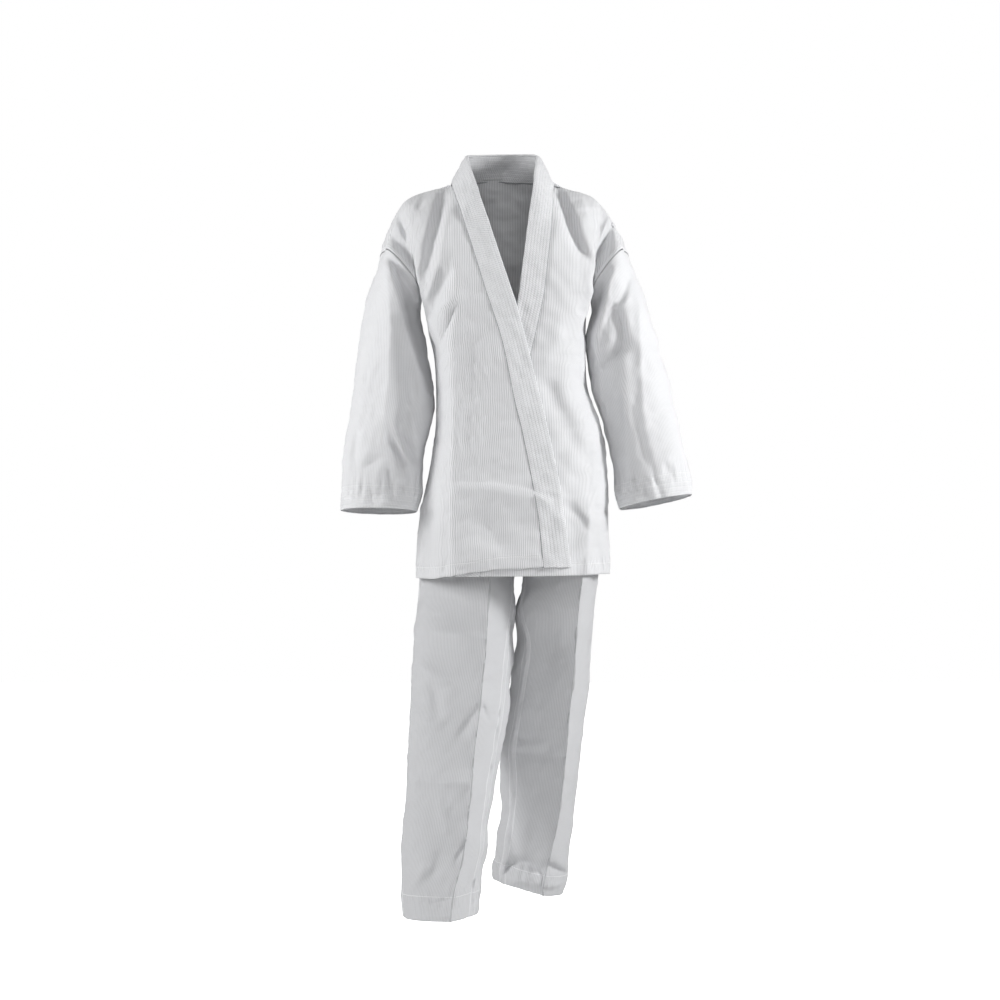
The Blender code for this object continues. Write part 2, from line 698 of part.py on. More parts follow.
def build_jacket(collection):
    white = (0.86, 0.87, 0.88)
    pieces = []
    for name in ("right", "left"):
        rows = front_rows(name)
        side_column = FRONT_STRIPS
        if name == "right":
            rows = reversed_rows(rows)
            side_column = 0

        def lift(point, r, c):
            over = wrap_lift(point) if name == "right" else 0.0
            return over + fold_rise(CHEST_FOLDS, point.x, point.z) * seam_fade(r, c, rows, side_column)

        rows = lifted(rows, False, lift)
        pieces.append(sheet_mesh("jacket_front_" + name, rows, False, WALL, cloth("front_" + name, white, 0.85)))
    rows = reversed_rows(back_rows())
    last = len(rows[0]) - 1
    rows = folded(rows, False, BACK_FOLDS, lambda r, c: seam_fade(r, c, rows, 0) * seam_fade(r, c, rows, last))
    pieces.append(sheet_mesh("jacket_back", rows, False, WALL, cloth("back", white, 0.85)))
    for name in ("right", "left"):
        rows = sleeve_rows(name)
        if name == "left":
            rows = reversed_rows(rows)
        half = len(rows[0]) // 2
        rows = folded(rows, True, SLEEVE_FOLDS[name], lambda r, c: ramp(r, 0, 2) * sleeve_front(name, c, half))
        pieces.append(sheet_mesh("sleeve_" + name, rows, True, WALL, cloth("sleeve_" + name, white, 0.85)))
    rows = band_stations()
    right_rows = len(levels())
    left_rows = len(rows) - right_rows

    def band_lift(point, r, c):
        over = wrap_lift(point) if r < right_rows else 0.0
        front = r < right_rows or r >= left_rows
        return BAND_PROUD + over + (fold_rise(CHEST_FOLDS, point.x, point.z) if front else 0.0)

    rows = lifted(rows, False, band_lift)
    pieces.append(sheet_mesh("collar_band", rows, False, BAND_WALL, cloth("collar_band", white, 0.8)))
    for piece in pieces:
        collection.objects.link(piece)


def build_trousers(collection):
    white = (0.84, 0.85, 0.87)
    for name in ("right", "left"):
        for face, label in ((1, "front"), (-1, "back")):
            rows = trouser_rows(name, face)
            if (name == "left") == (face > 0):
                rows = reversed_rows(rows)
            rows = folded(rows, False, LEG_FOLDS[name], lambda r, c: ramp(min(c, LEG_STRIPS - c), 0, 2))
            title = "trouser_" + label + "_" + name
            collection.objects.link(sheet_mesh(title, rows, False, WALL, cloth(title, white, 0.85)))
    collection.objects.link(sheet_mesh("waistband", waistband_rows(), True, 0.003, cloth("waistband", white, 0.85)))


def main():
    for thing in list(bpy.data.objects):
        bpy.data.objects.remove(thing)
    collection = bpy.data.collections.new("karate_gi")
    bpy.context.scene.collection.children.link(collection)
    build_jacket(collection)
    build_trousers(collection)


main()
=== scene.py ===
"""The looks of a karate gi: white ribbed cloth for its jacket and trousers, with folds, seams and stitching.

In the frame x runs to the wearer's left, y to the wearer's back and z up. "Right" and "left" in names are the
wearer's.
"""

import bpy
import numpy as np
from math import pi, radians
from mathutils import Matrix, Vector


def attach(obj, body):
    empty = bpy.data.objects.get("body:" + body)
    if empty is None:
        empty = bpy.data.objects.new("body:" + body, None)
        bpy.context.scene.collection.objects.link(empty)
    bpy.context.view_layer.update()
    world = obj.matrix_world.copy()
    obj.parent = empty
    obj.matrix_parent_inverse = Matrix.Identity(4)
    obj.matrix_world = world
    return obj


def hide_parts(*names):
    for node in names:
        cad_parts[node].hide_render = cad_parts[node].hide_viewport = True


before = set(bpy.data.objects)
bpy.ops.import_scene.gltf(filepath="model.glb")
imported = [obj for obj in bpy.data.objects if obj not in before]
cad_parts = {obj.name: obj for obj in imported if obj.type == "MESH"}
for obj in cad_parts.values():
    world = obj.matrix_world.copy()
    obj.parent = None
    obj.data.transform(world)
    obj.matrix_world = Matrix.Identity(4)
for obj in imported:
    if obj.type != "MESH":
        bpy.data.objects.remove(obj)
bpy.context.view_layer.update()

# Sizes of the garment, in metres.
CLOTH = 0.0011           # thickness of the cloth
BAND = 0.0034            # thickness of the collar band
WAISTBAND = 0.0028       # thickness of the waistband
BAND_PROUD = 0.0014      # how far the band stands above the fronts
WRAP_LIFT = 0.0052       # how far the right front lies above the left front
ARMPIT = -0.183
ARMPIT_TUCK = 0.018
FRONT_HOLLOW = 0.010
CAP_BULGE = 0.008
SECTION_POWER = 0.80     # below 1 the body's sections are squarer than an ellipse
NECK_BACK = (0.002, 0.095, 0.0265)
COLLAR_BACK = (0.002, 0.074, 0.0665)
NECK_ANGLE = 148         # degrees from centre front to the end of the neck seam on the back
BAND_WIDTH = 0.043
NECK_TUCK = 0.16         # the share of the band's width that lies inside the back below the neck seam
UNDER_BAND = 0.010       # how far the fronts run on under the band
VENT_TOP = -0.585
VENT_GAP = 0.006
CROTCH = -0.578
LEG_TOP = -0.600
HIP = -0.500
WAIST = -0.312
BAND_TOP = -0.272
TROUSER_CENTRE = 0.024
TROUSER_GAP = 0.00015    # half the gap between the two legs' panels at the middle
OUTSEAM = 95             # degrees from a leg's centre front to its outer seam
CREASE = 0.0012          # how far the pressed crease of a leg stands up
JACKET_HEM = 0.020       # depth of the turned-up hem
CUFF_HEM = 0.039
LEG_HEM = 0.041
FELL = 0.0085            # width of a felled seam

# Stitching. A row lies a little inside the width of the hem or the seam that it holds.
STITCH_WIDTH = 0.0007
STITCH_LENGTH = 0.0031
HEM_ROW = 0.0014
FELL_ROW = 0.0016
ROW_DIP = 0.0005         # how far a hem's row of stitches draws the cloth in
ROW_SPREAD = 0.0009
BAND_ROW_GAP = 0.0053
BAND_ROWS = tuple(0.0028 + BAND_ROW_GAP * i for i in range(8))
CUFF_ROWS = (0.006, 0.014, 0.022, 0.030)
WAISTBAND_ROWS = (0.004, 0.036)

# The weave: how far apart the ribs are, how much painted shade darkens the grooves between them, and the
# colours.
JACKET_PITCH, JACKET_GROOVE_SHADE = 0.0029, 2.2
SLEEVE_PITCH, SLEEVE_GROOVE_SHADE = 0.0027, 0.9
TROUSER_PITCH, TROUSER_GROOVE_SHADE = 0.0028, 1.5
WAISTBAND_PITCH, WAISTBAND_GROOVE_SHADE = 0.0022, 0.45
BAND_PITCH = 0.0031
WEFT = 0.0011            # from one thread across the ribs to the next
JACKET_WHITE = (0.82, 0.825, 0.84)
# The trousers' white is darker than the jacket's: painted shade for the dimmer light on the legs.
TROUSER_SHADED_WHITE = (0.66, 0.665, 0.68)
BAND_WHITE = (0.80, 0.805, 0.82)
BAND_SHADE = (0.66, 0.665, 0.68)
THREAD_WHITE = (0.90, 0.905, 0.915)

# Points round the sleeves and the waistband, and rows over the neck.
SLEEVE_RING = 120
WAIST_RING = 96
NECK_COLUMNS = 22
NECK_ROWS = 31

# Slack waves of the cloth. The fronts and the band lie on one another, so they share theirs.
JACKET_WAVES = 11
WAVE_COUNT = 14

# The place that the fold tables are seen from: level with EYE and DISTANCE in front of the wearer or behind.
EYE = -0.532
DISTANCE = 4.0
PIXEL = 0.0017           # what a thousandth of the picture's width measures at the shoulders

# The studio: the floor's level, what the white paper gives back to the cloth beyond the light it reflects, and
# the even light of the room. Seen directly, paper and room are plain white.
FLOOR = -1.31
PAPER_GLOW = 0.10
ROOM_LIGHT = 0.13

# The soft lights: name, place, what it is turned to, width and height, power.
LIGHTS = (
    ("key", (2.5, -0.82, 0.4), (0.0, 0.0, -0.4), (0.5, 0.7), 54),
    ("fill", (-2.5, -0.62, 0.35), (0.0, 0.0, -0.4), (1.1, 1.3), 45),
    ("front", (0.0, -3.6, 0.5), (0.0, 0.0, -0.4), (1.6, 1.2), 23),
    ("back", (0.4, 3.4, 0.9), (0.0, 0.0, -0.5), (1.6, 1.2), 16),
    ("top", (0.3, -0.8, 2.4), (0.0, 0.0, -0.6), (1.2, 1.2), 12),
)

# Sections of the jacket's body: height, right edge, left edge, depth in front, depth behind.
TORSO_SECTIONS = (
    (-0.668, -0.142, 0.185, 0.132, 0.136),
    (-0.600, -0.140, 0.184, 0.131, 0.137),
    (-0.545, -0.133, 0.183, 0.129, 0.136),
    (-0.490, -0.121, 0.181, 0.128, 0.133),
    (-0.413, -0.108, 0.172, 0.125, 0.128),
    (-0.345, -0.107, 0.149, 0.122, 0.124),
    (-0.290, -0.113, 0.147, 0.120, 0.124),
    (-0.243, -0.131, 0.154, 0.119, 0.126),
    (-0.183, -0.149, 0.170, 0.117, 0.127),
)

# The two edges of the collar band on each front: height, seam with the front, free edge.
RIGHT_BAND = (
    (-0.640, 0.0692, 0.1150),
    (-0.570, 0.0626, 0.1063),
    (-0.499, 0.0511, 0.0955),
    (-0.418, 0.0350, 0.0791),
    (-0.369, 0.0231, 0.0672),
    (-0.272, 0.0033, 0.0437),
    (-0.206, -0.0173, 0.0264),
    (-0.183, -0.0250, 0.0187),
)
LEFT_BAND = (
    (-0.655, -0.0313, -0.0741),
    (-0.296, 0.0502, 0.0060),
    (-0.206, 0.0708, 0.0280),
    (-0.183, 0.0750, 0.0320),
)

# Each side of the yoke: the shoulder seam's neck end, the shoulder point, its lower end on the dropped
# shoulder, the top of the band at the side of the neck, how far the armhole bows forward and backward, the hem
# at the band and at the side, and the upright line, across, that the ribs of the front run along.
YOKES = {
    "right": {
        "side": -1,
        "neck": (-0.083, 0.008, 0.004),
        "shoulder": (-0.163, 0.005, -0.0255),
        "drop": (-0.194, -0.015, -0.110),
        "collar": (-0.0585, 0.012, 0.0550),
        "forward": 0.056,
        "backward": 0.072,
        "hem": (-0.643, -0.664),
        "band": RIGHT_BAND,
        "grain": -0.070,
    },
    "left": {
        "side": 1,
        "neck": (0.0935, 0.008, 0.005),
        "shoulder": (0.170, 0.005, -0.0290),
        "drop": (0.2090, -0.015, -0.110),
        "collar": (0.0630, 0.012, 0.0545),
        "forward": 0.056,
        "backward": 0.072,
        "hem": (-0.658, -0.656),
        "band": LEFT_BAND,
        "grain": 0.115,
    },
}

# Sections of each sleeve below the armhole: share of its length, height, outer edge, inner edge, centre front
# to back, half depth, how much higher the inner edge is, how much higher the front is.
SLEEVE_SECTIONS = {
    "right": (
        (0.25, -0.205, -0.225, -0.1350, 0.002, 0.070, -0.020, 0.000),
        (0.42, -0.277, -0.2395, -0.1225, 0.000, 0.067, -0.006, 0.002),
        (0.62, -0.362, -0.2515, -0.1130, -0.010, 0.060, -0.002, 0.004),
        (0.80, -0.447, -0.2625, -0.1270, -0.020, 0.054, -0.001, 0.006),
        (0.94, -0.523, -0.2670, -0.1330, -0.030, 0.048, 0.000, 0.006),
        (1.00, -0.551, -0.2665, -0.1395, -0.034, 0.045, -0.001, 0.006),
    ),
    "left": (
        (0.25, -0.205, 0.244, 0.156, 0.002, 0.070, -0.020, 0.000),
        (0.42, -0.277, 0.2700, 0.1515, 0.000, 0.067, -0.008, 0.002),
        (0.62, -0.362, 0.2910, 0.1670, -0.010, 0.060, -0.010, 0.004),
        (0.80, -0.447, 0.3090, 0.1865, -0.020, 0.054, -0.011, 0.006),
        (0.94, -0.510, 0.3220, 0.1950, -0.030, 0.048, -0.012, 0.006),
        (1.00, -0.536, 0.3245, 0.1985, -0.034, 0.045, -0.012, 0.006),
    ),
}

# Sections of each leg: height, outer edge, inner edge, centre front to back, front crease, half depth.
LEG_SECTIONS = {
    "right": (
        (-1.216, -0.1600, -0.0363, -0.118, -0.0810, 0.075),
        (-1.168, -0.1628, -0.0306, -0.108, -0.0745, 0.075),
        (-1.118, -0.1626, -0.0232, -0.095, -0.0600, 0.077),
        (-1.045, -0.1583, -0.0142, -0.080, -0.0510, 0.080),
        (-0.960, -0.1540, 0.0015, -0.062, -0.0430, 0.084),
        (-0.883, -0.1510, 0.0145, -0.045, -0.0345, 0.088),
        (-0.782, -0.1460, 0.0230, -0.022, -0.0235, 0.094),
        (-0.722, -0.1415, 0.0245, -0.010, -0.0207, 0.098),
        (-0.661, -0.1365, 0.0230, 0.000, -0.0166, 0.101),
        (-0.600, -0.1340, 0.0245, 0.000, -0.0120, 0.104),
    ),
    "left": (
        (-1.213, 0.1094, -0.0123, 0.148, 0.0745, 0.075),
        (-1.190, 0.1161, -0.0123, 0.138, 0.0759, 0.075),
        (-1.145, 0.1208, -0.0079, 0.120, 0.0858, 0.076),
        (-1.074, 0.1289, 0.0000, 0.100, 0.0997, 0.078),
        (-1.011, 0.1353, 0.0010, 0.080, 0.1068, 0.080),
        (-0.954, 0.1410, -0.0015, 0.065, 0.1122, 0.083),
        (-0.897, 0.1460, 0.0090, 0.050, 0.1167, 0.086),
        (-0.818, 0.1540, 0.0215, 0.030, 0.1236, 0.091),
        (-0.771, 0.1570, 0.0280, 0.020, 0.1274, 0.095),
        (-0.722, 0.1602, 0.0262, 0.010, 0.1296, 0.098),
        (-0.661, 0.1657, 0.0391, 0.000, 0.1359, 0.101),
        (-0.600, 0.1660, 0.0310, 0.000, 0.1330, 0.104),
    ),
}

# The lean of each leg's hem: the place across where it keeps its height, and its rise to the wearer's left.
HEM_SLOPES = {"right": (-0.098, 0.066), "left": (0.054, -0.217)}

# Folds and creases. Each is a curve in the view from the front, or from behind for the back: its name, start
# x and z, bend x and z, end x and z, half width to the left and to the right of its way, rise (below 0 it is a
# trough), how round its top is (1 is a pressed crease, 2 a soft roll), and its strength at the start and at
# the end.
FRONT_FOLDS = (
    ("armpit edge", -0.163, -0.027, -0.153, -0.127, -0.122, -0.257, 0.027, 0.005, 0.0120, 1.3, 0.5, 0.5),
    ("chest hollow", -0.092, -0.003, -0.112, -0.066, -0.129, -0.173, 0.011, 0.010, -0.0200, 2.4, 0.8, 0.2),
    ("chest edge", -0.093, -0.019, -0.083, -0.090, -0.124, -0.189, 0.017, 0.006, 0.0090, 1.5, 0.3, 0.4),
    ("chest short", -0.105, -0.027, -0.104, -0.046, -0.109, -0.066, 0.005, 0.005, -0.0045, 2.0, 0.3, 0.2),
    ("shoulder short", -0.129, -0.017, -0.134, -0.029, -0.139, -0.042, 0.007, 0.007, -0.0060, 2.0, 0.6, 0.1),
    ("breast hollow", -0.090, -0.131, -0.100, -0.172, -0.117, -0.209, 0.015, 0.014, -0.0165, 3.0, 0.2, 0.4),
    ("breast edge", -0.119, -0.226, -0.095, -0.211, -0.073, -0.190, 0.005, 0.017, 0.0112, 1.1, 0.3, 0.5),
    ("breast side", -0.082, -0.117, -0.070, -0.150, -0.073, -0.192, 0.010, 0.005, 0.0030, 1.4, 0.2, 0.3),
    ("pull line", -0.075, -0.202, -0.082, -0.233, -0.097, -0.263, 0.005, 0.007, -0.0090, 1.5, 0.4, 0.3),
    ("waist nick", -0.105, -0.282, -0.092, -0.297, -0.076, -0.306, 0.010, 0.008, -0.0045, 1.6, 0.6, 0.1),
    ("long crease", -0.078, -0.192, -0.080, -0.396, -0.076, -0.670, 0.020, 0.015, 0.0097, 1.0, 0.2, 1.0),
    ("side hollow", -0.107, -0.510, -0.122, -0.566, -0.129, -0.671, 0.014, 0.015, -0.0200, 2.0, 0.1, 1.0),
    ("side hollow edge", -0.092, -0.515, -0.102, -0.566, -0.107, -0.671, 0.010, 0.010, 0.0060, 1.6, 0.1, 1.0),
    ("level crease", -0.082, -0.510, 0.000, -0.507, 0.068, -0.527, 0.004, 0.041, 0.0105, 1.0, 0.5, 0.9),
    ("side notch", -0.105, -0.530, -0.090, -0.527, -0.078, -0.510, 0.005, 0.008, -0.0030, 1.3, 0.3, 0.5),
    ("belly hollow", 0.008, -0.535, 0.034, -0.566, 0.051, -0.595, 0.017, 0.017, -0.0045, 2.0, 0.2, 0.2),
    ("belly wave", -0.054, -0.552, -0.014, -0.583, 0.034, -0.634, 0.024, 0.024, -0.0067, 2.0, 0.1, 0.1),
    ("belly wave low", -0.051, -0.614, -0.007, -0.627, 0.048, -0.644, 0.017, 0.017, 0.0030, 2.0, 0.1, 0.1),
    ("centre wave", -0.041, -0.192, -0.034, -0.328, -0.044, -0.481, 0.022, 0.022, -0.0054, 2.0, 0.1, 0.1),
    ("streak a", -0.168, -0.054, -0.160, -0.075, -0.153, -0.097, 0.005, 0.007, -0.0075, 1.8, 0.4, 0.3),
    ("streak b", -0.185, -0.080, -0.172, -0.100, -0.156, -0.119, 0.007, 0.007, -0.0083, 1.8, 0.5, 0.3),
    ("streak ridge", -0.177, -0.059, -0.165, -0.087, -0.153, -0.112, 0.006, 0.006, 0.0045, 1.5, 0.3, 0.3),
    ("big hollow", 0.097, 0.002, 0.119, -0.049, 0.138, -0.114, 0.008, 0.011, -0.0220, 2.2, 0.8, 0.3),
    ("big hollow low", 0.129, -0.083, 0.146, -0.114, 0.163, -0.143, 0.008, 0.008, -0.0090, 1.8, 0.2, 0.2),
    ("big ridge", 0.138, -0.019, 0.167, -0.090, 0.160, -0.223, 0.005, 0.020, 0.0120, 1.4, 0.4, 0.5),
    ("shoulder hollow", 0.194, -0.056, 0.182, -0.087, 0.165, -0.124, 0.008, 0.006, -0.0150, 1.9, 0.3, 0.3),
    ("shoulder streak", 0.187, -0.049, 0.175, -0.075, 0.163, -0.107, 0.005, 0.005, 0.0053, 1.5, 0.3, 0.3),
    ("shoulder dimple a", 0.150, -0.070, 0.160, -0.066, 0.172, -0.066, 0.008, 0.008, -0.0060, 2.2, 0.3, 0.3),
    ("shoulder dimple b", 0.156, -0.083, 0.162, -0.090, 0.160, -0.104, 0.005, 0.005, -0.0053, 2.0, 0.3, 0.3),
    ("shoulder dimple c", 0.170, -0.027, 0.168, -0.036, 0.167, -0.044, 0.005, 0.005, -0.0045, 2.0, 0.4, 0.2),
    ("shoulder swell", 0.153, -0.027, 0.156, -0.041, 0.160, -0.053, 0.008, 0.008, 0.0037, 1.8, 0.3, 0.3),
    ("armpit nick", 0.129, -0.212, 0.143, -0.206, 0.156, -0.223, 0.007, 0.008, -0.0060, 1.6, 0.1, 0.8),
    ("armpit swell", 0.151, -0.144, 0.156, -0.175, 0.153, -0.209, 0.007, 0.008, 0.0037, 1.8, 0.2, 0.2),
    ("breast wave", 0.082, -0.243, 0.112, -0.263, 0.153, -0.257, 0.017, 0.017, 0.0037, 2.0, 0.1, 0.3),
    ("waist wave", 0.082, -0.331, 0.105, -0.405, 0.153, -0.474, 0.014, 0.014, -0.0060, 2.0, 0.2, 0.3),
    ("waist wave lip", 0.095, -0.314, 0.128, -0.379, 0.156, -0.423, 0.014, 0.014, 0.0030, 2.0, 0.1, 0.3),
    ("right upright", 0.153, -0.450, 0.158, -0.495, 0.151, -0.535, 0.005, 0.008, -0.0030, 1.2, 0.2, 0.5),
    ("right long crease", 0.151, -0.532, 0.155, -0.583, 0.148, -0.665, 0.008, 0.024, 0.0135, 1.0, 0.5, 1.0),
    ("right slant", 0.129, -0.532, 0.156, -0.573, 0.175, -0.614, 0.012, 0.010, 0.0036, 1.4, 0.5, 0.6),
    ("right slant under", 0.112, -0.542, 0.133, -0.556, 0.150, -0.583, 0.008, 0.008, -0.0053, 1.6, 0.3, 0.5),
    ("right hem hollow", 0.167, -0.583, 0.170, -0.620, 0.170, -0.671, 0.008, 0.010, -0.0090, 2.0, 0.1, 1.0),
    ("right level", 0.075, -0.515, 0.102, -0.522, 0.122, -0.532, 0.007, 0.024, 0.0045, 1.1, 0.5, 0.4),
    ("right belly", 0.112, -0.532, 0.131, -0.586, 0.129, -0.644, 0.022, 0.014, -0.0050, 2.0, 0.5, 0.6),
)
RIGHT_SLEEVE_FOLDS = (
    ("under the seam", -0.189, -0.119, -0.177, -0.129, -0.160, -0.144, 0.005, 0.010, -0.0112, 1.8, 0.6, 0.3),
    ("inner edge", -0.189, -0.122, -0.173, -0.223, -0.117, -0.355, 0.004, 0.020, 0.0128, 1.2, 0.3, 0.5),
    ("inner hollow", -0.170, -0.129, -0.158, -0.178, -0.116, -0.338, 0.015, 0.012, -0.0240, 3.0, 0.3, 0.4),
    ("seam roll", -0.151, -0.138, -0.150, -0.158, -0.146, -0.178, 0.007, 0.007, 0.0080, 2.0, 0.4, 0.2),
    ("outer wave", -0.214, -0.129, -0.228, -0.219, -0.241, -0.326, 0.019, 0.019, -0.0048, 2.0, 0.2, 0.1),
    ("main ridge", -0.195, -0.127, -0.172, -0.269, -0.204, -0.457, 0.017, 0.017, 0.0112, 1.2, 0.3, 0.2),
    ("flat hollow", -0.163, -0.277, -0.139, -0.342, -0.167, -0.396, 0.014, 0.012, -0.0128, 2.2, 0.2, 0.2),
    ("flat ridge", -0.168, -0.335, -0.151, -0.382, -0.136, -0.444, 0.007, 0.007, 0.0064, 1.5, 0.2, 0.2),
    ("elbow streak a", -0.177, -0.403, -0.160, -0.433, -0.139, -0.467, 0.007, 0.007, -0.0110, 1.7, 0.2, 0.2),
    ("elbow ridge a", -0.189, -0.396, -0.172, -0.430, -0.150, -0.478, 0.006, 0.006, 0.0112, 1.4, 0.2, 0.2),
    ("elbow streak b", -0.190, -0.427, -0.175, -0.450, -0.163, -0.476, 0.007, 0.008, -0.0110, 1.7, 0.2, 0.2),
    ("elbow ridge b", -0.201, -0.427, -0.187, -0.457, -0.163, -0.488, 0.007, 0.007, 0.0064, 1.6, 0.2, 0.2),
    ("cuff spark", -0.175, -0.501, -0.165, -0.500, -0.156, -0.491, 0.004, 0.005, 0.0048, 1.6, 0.2, 0.2),
    ("cuff nick a", -0.194, -0.474, -0.189, -0.488, -0.190, -0.501, 0.005, 0.005, -0.0048, 1.8, 0.2, 0.2),
    ("cuff nick b", -0.184, -0.508, -0.185, -0.522, -0.180, -0.535, 0.005, 0.005, -0.0040, 1.8, 0.2, 0.2),
    ("cuff nick c", -0.167, -0.505, -0.168, -0.522, -0.163, -0.542, 0.006, 0.006, -0.0048, 1.8, 0.2, 0.4),
    ("cuff nick d", -0.218, -0.518, -0.219, -0.532, -0.214, -0.544, 0.005, 0.005, -0.0032, 1.8, 0.2, 0.4),
    ("outer dent", -0.245, -0.413, -0.241, -0.450, -0.252, -0.488, 0.008, 0.008, -0.0056, 2.0, 0.2, 0.2),
    ("outer line", -0.248, -0.382, -0.240, -0.384, -0.229, -0.391, 0.004, 0.005, -0.0026, 1.2, 0.3, 0.3),
    ("ridge foot", -0.238, -0.481, -0.223, -0.473, -0.202, -0.456, 0.007, 0.007, -0.0048, 1.7, 0.3, 0.3),
    ("level line", -0.255, -0.377, -0.197, -0.384, -0.129, -0.401, 0.008, 0.008, -0.0022, 1.0, 0.3, 0.3),
)
LEFT_SLEEVE_FOLDS = (
    ("armpit wedge", 0.180, -0.141, 0.170, -0.178, 0.146, -0.246, 0.008, 0.008, -0.0200, 2.2, 0.4, 0.3),
    ("wedge lip", 0.192, -0.131, 0.178, -0.192, 0.158, -0.274, 0.010, 0.005, 0.0112, 1.6, 0.3, 0.3),
    ("under the seam", 0.170, -0.144, 0.180, -0.138, 0.190, -0.131, 0.005, 0.007, -0.0048, 1.8, 0.3, 0.2),
    ("upper hollow", 0.226, -0.127, 0.214, -0.175, 0.197, -0.212, 0.008, 0.010, -0.0096, 1.9, 0.3, 0.2),
    ("upper level", 0.195, -0.207, 0.207, -0.199, 0.224, -0.189, 0.005, 0.005, 0.0048, 1.5, 0.2, 0.2),
    ("big hollow", 0.194, -0.206, 0.216, -0.229, 0.209, -0.270, 0.006, 0.017, -0.0140, 2.0, 0.3, 0.6),
    ("big hollow low", 0.214, -0.267, 0.204, -0.287, 0.172, -0.304, 0.007, 0.017, -0.0130, 2.0, 0.5, 0.3),
    ("ridge tip", 0.177, -0.212, 0.162, -0.246, 0.170, -0.277, 0.007, 0.007, 0.0064, 1.6, 0.3, 0.3),
    ("inner hollow", 0.190, -0.314, 0.194, -0.413, 0.204, -0.512, 0.017, 0.020, -0.0140, 2.4, 0.2, 0.6),
    ("inner edge", 0.211, -0.297, 0.216, -0.396, 0.211, -0.495, 0.014, 0.004, 0.0064, 1.3, 0.3, 0.4),
    ("outer edge", 0.235, -0.175, 0.240, -0.328, 0.250, -0.495, 0.024, 0.008, 0.0072, 1.3, 0.3, 0.4),
    ("elbow dent", 0.241, -0.410, 0.246, -0.450, 0.255, -0.491, 0.008, 0.008, -0.0056, 2.0, 0.2, 0.3),
    ("outer wave", 0.258, -0.209, 0.275, -0.294, 0.286, -0.379, 0.019, 0.019, -0.0040, 2.0, 0.1, 0.1),
    ("level line", 0.245, -0.384, 0.272, -0.379, 0.303, -0.369, 0.005, 0.008, -0.0032, 1.1, 0.3, 0.3),
    ("cuff nick a", 0.265, -0.495, 0.272, -0.512, 0.275, -0.529, 0.005, 0.005, -0.0040, 1.8, 0.2, 0.4),
    ("cuff nick b", 0.246, -0.505, 0.252, -0.522, 0.255, -0.535, 0.005, 0.005, -0.0040, 1.8, 0.2, 0.4),
    ("cuff dent", 0.279, -0.467, 0.286, -0.481, 0.292, -0.495, 0.006, 0.006, -0.0040, 1.8, 0.2, 0.3),
)
RIGHT_LEG_FOLDS = (
    ("thigh line", -0.102, -0.756, -0.058, -0.760, -0.020, -0.768, 0.008, 0.015, 0.0070, 1.0, 0.2, 0.9),
    ("thigh line inner", -0.022, -0.767, -0.007, -0.770, 0.017, -0.756, 0.007, 0.007, 0.0042, 1.1, 0.6, 0.2),
    ("thigh wave", -0.139, -0.804, -0.116, -0.835, -0.068, -0.843, 0.008, 0.012, 0.0055, 1.8, 0.3, 0.1),
    ("thigh dent", -0.143, -0.899, -0.112, -0.930, -0.092, -0.899, 0.010, 0.008, 0.0051, 1.8, 0.2, 0.1),
    ("thigh hollow", -0.114, -0.845, -0.107, -0.872, -0.107, -0.906, 0.008, 0.008, -0.0058, 2.0, 0.2, 0.2),
    ("knee nick", -0.032, -0.884, -0.051, -0.901, -0.070, -0.937, 0.007, 0.007, -0.0065, 1.5, 0.7, 0.3),
    ("knee nick inner", -0.032, -0.882, -0.027, -0.892, -0.020, -0.906, 0.004, 0.005, -0.0046, 1.4, 0.7, 0.1),
    ("shin line", -0.156, -1.010, -0.102, -1.013, -0.048, -1.015, 0.015, 0.007, 0.0061, 1.3, 0.6, 0.8),
    ("shin line inner", -0.048, -1.016, -0.024, -1.015, 0.000, -1.003, 0.007, 0.007, 0.0046, 1.2, 0.6, 0.4),
    ("shin streak", -0.107, -1.039, -0.097, -1.067, -0.087, -1.100, 0.007, 0.007, 0.0049, 1.6, 0.2, 0.1),
    ("crease notch", -0.056, -1.110, -0.066, -1.130, -0.076, -1.146, 0.005, 0.005, -0.0070, 1.4, 0.4, 0.3),
    ("calf light", -0.119, -1.144, -0.133, -1.168, -0.151, -1.188, 0.008, 0.008, 0.0065, 1.8, 0.2, 0.2),
    ("calf shade", -0.095, -1.127, -0.109, -1.151, -0.119, -1.178, 0.010, 0.010, -0.0055, 2.0, 0.2, 0.2),
    ("seam nick a", -0.008, -0.897, -0.002, -0.896, 0.003, -0.891, 0.004, 0.004, -0.0055, 1.5, 0.3, 0.6),
    ("seam nick b", -0.010, -0.926, -0.002, -0.921, 0.008, -0.914, 0.005, 0.005, -0.0061, 1.5, 0.3, 0.6),
    ("seam nick c", -0.032, -1.090, -0.025, -1.088, -0.017, -1.081, 0.005, 0.005, -0.0061, 1.5, 0.3, 0.6),
    ("seam nick d", -0.020, -0.991, -0.010, -0.988, 0.000, -0.977, 0.007, 0.007, -0.0051, 1.6, 0.3, 0.6),
    ("hem shade", -0.068, -1.193, -0.051, -1.188, -0.037, -1.175, 0.007, 0.007, -0.0055, 1.8, 0.2, 0.4),
    ("hem fold", -0.129, -1.215, -0.102, -1.220, -0.082, -1.210, 0.005, 0.005, -0.0042, 1.6, 0.2, 0.3),
    ("hem fold low", -0.136, -1.236, -0.105, -1.243, -0.076, -1.236, 0.005, 0.005, 0.0038, 1.6, 0.2, 0.3),
)
